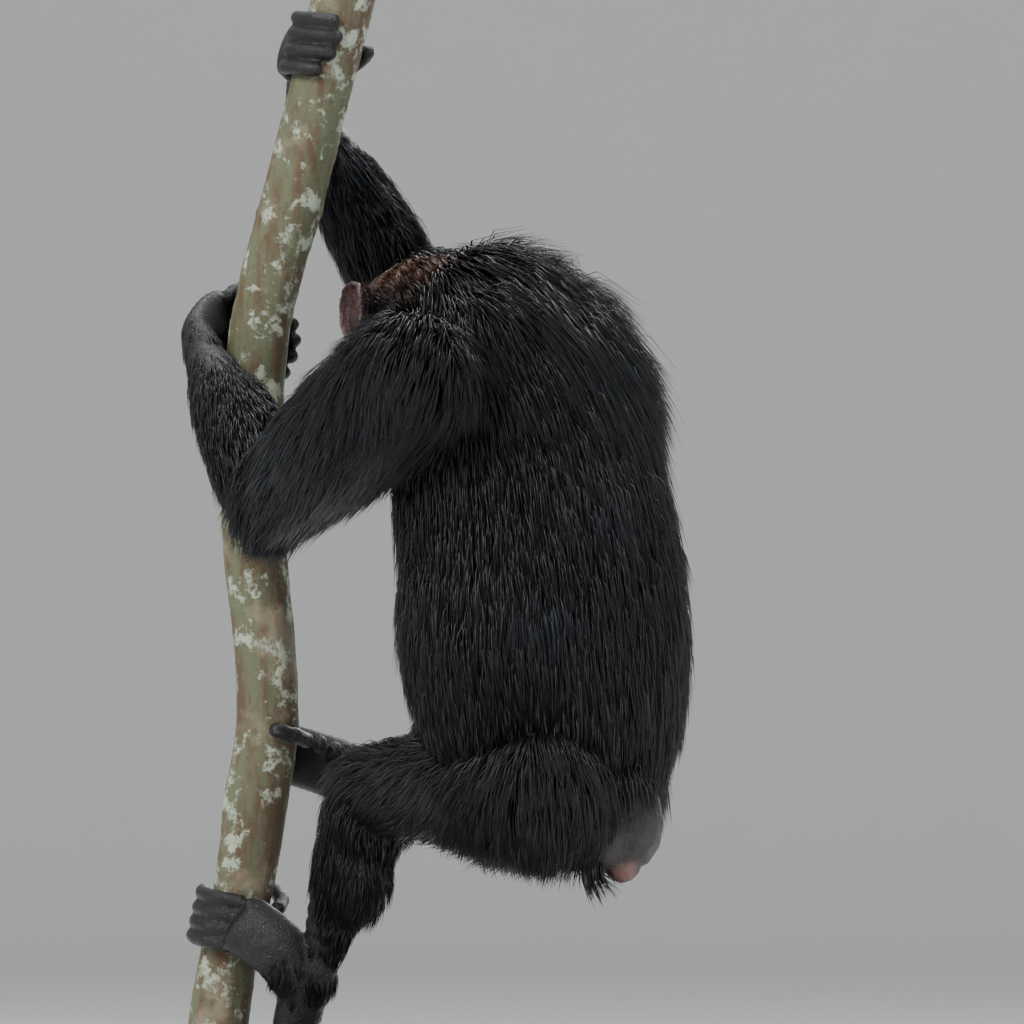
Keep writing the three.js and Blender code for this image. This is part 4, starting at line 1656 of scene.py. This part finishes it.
@dataclass
class Stand:
    """The plain display stand, its edges eased."""

    edge: float = 0.002

    def build(self) -> list[bpy.types.Object]:
        """Makes the base, the collar and the rod.

        Returns:
            The three pieces.
        """
        pieces = []
        for node in ("stand_base", "stand_collar", "stand_rod"):
            made = bmesh.new()
            merged_copy(made, node)
            bmesh.ops.dissolve_limit(made, angle_limit=0.02, verts=made.verts, edges=made.edges)
            sharp = [edge for edge in made.edges if edge.is_manifold and edge.calc_face_angle() > 0.6]
            wide = self.edge * (0.4 if node == "stand_rod" else 1)
            bmesh.ops.bevel(
                made, geom=sharp, offset=wide, offset_type="OFFSET",
                segments=3, profile=0.5, affect="EDGES", material=-1,
            )
            mesh = smooth_mesh(made, node)
            mesh.set_sharp_from_angle(angle=0.5)
            piece = keep_mesh(f"{node}_painted", mesh, PaintFinish(f"{node}_paint").make())
            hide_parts(node)
            pieces.append(piece)
        return pieces


@dataclass
class Studio:
    """A pale round floor and wall, soft lights and the photograph's camera."""

    middle: tuple[float, float] = (0.072, 0.672)
    distance: float = 6.6
    width: float = 1.024
    plane: float = -0.10
    look_up: float = 0.045

    def build(self) -> None:
        """Sets the stage, the lights and the camera."""
        self.floor()
        self.lamp("key", (-2.4, -3.0, 3.4), 2.0, 240, (1.0, 0.98, 0.95))
        self.lamp("fill", (3.0, -2.6, 1.6), 2.6, 60, (0.93, 0.96, 1.0))
        self.lamp("top", (0.3, 0.6, 3.6), 2.0, 150, (0.96, 0.98, 1.0))
        self.lamp("back", (1.2, 3.4, 2.2), 2.4, 90, (1.0, 1.0, 1.0))
        world = bpy.data.worlds.new("studio")
        world.use_nodes = True
        world.node_tree.nodes["Background"].inputs[0].default_value = (0.93, 0.95, 0.97, 1)
        world.node_tree.nodes["Background"].inputs[1].default_value = 0.5
        bpy.context.scene.world = world
        self.camera()

    def floor(self) -> None:
        """A round bowl: a flat floor that curves up into a wall."""
        flat, curve, wall, bends = 9.0, 2.0, 5.0, 12
        profile = [(0.0, 0.0), (3.0, 0.0), (flat, 0.0)]
        for step in range(1, bends + 1):
            turn = step / bends * math.pi / 2
            profile.append((flat + curve * math.sin(turn), curve * (1 - math.cos(turn))))
        profile.append((flat + curve, wall))
        made = bmesh.new()
        corners = [made.verts.new((reach, 0, height - 0.0005)) for reach, height in profile]
        edges = [made.edges.new(pair) for pair in zip(corners, corners[1:])]
        bmesh.ops.spin(
            made, geom=[*corners, *edges], cent=(0, 0, 0), axis=(0, 0, 1), dvec=(0, 0, 0), angle=2 * math.pi,
            steps=72, use_merge=True,
        )
        bmesh.ops.remove_doubles(made, verts=made.verts, dist=0.00001)
        bmesh.ops.recalc_face_normals(made, faces=made.faces)
        bmesh.ops.reverse_faces(made, faces=made.faces)
        mesh = smooth_mesh(made, "studio_sweep")
        sheet = Sheet("pale_floor")
        tone = sheet.mix(sheet.noise(3, 3) * 0.4, (0.74, 0.75, 0.74), (0.80, 0.80, 0.79))
        mesh.materials.append(sheet.finish(tone, 0.85))
        sweep = bpy.data.objects.new("studio_sweep", mesh)
        bpy.context.scene.collection.objects.link(sweep)

    def lamp(
        self,
        name: str,
        where: tuple[float, float, float],
        size: float,
        power: float,
        tone: tuple[float, float, float],
    ) -> None:
        """A soft square lamp that looks at the middle of the animal.

        Args:
            name: The lamp's name.
            where: Where it stands, in metres.
            size: The side of its square.
            power: Its power in watts.
            tone: Its colour.
        """
        data = bpy.data.lights.new(name, "AREA")
        data.shape = "SQUARE"
        data.size = size
        data.energy = power
        data.color = tone
        lamp = bpy.data.objects.new(name, data)
        lamp.location = where
        lamp.rotation_euler = (Vector((0.0, -0.05, 0.65)) - Vector(where)).to_track_quat("-Z", "Y").to_euler()
        bpy.context.scene.collection.objects.link(lamp)

    def camera(self) -> None:
        """A long lens from the left and behind the animal, looking up a little."""
        data = bpy.data.cameras.new("portrait")
        data.sensor_width = 36
        data.sensor_height = 36
        data.sensor_fit = "HORIZONTAL"
        data.lens = 36 * self.distance / self.width
        data.clip_end = 60
        camera = bpy.data.objects.new("portrait", data)
        x, z = self.middle
        drop = self.distance * math.sin(self.look_up)
        camera.location = (x, self.plane - self.distance * math.cos(self.look_up), z - drop)
        camera.rotation_euler = (math.pi / 2 + self.look_up, 0, 0)
        bpy.context.scene.collection.objects.link(camera)
        bpy.context.scene.camera = camera


def main() -> None:
    """Builds the studio, the sapling, the stand and the animal."""
    logging.basicConfig(level=logging.INFO)
    Studio().build()
    Sapling().build()
    Stand().build()
    markings = Markings()
    skin = Hide(markings).build()
    Eyes().build()
    Nails().build()
    Coat(skin, markings).build()


if __name__ == "__main__":
    main()
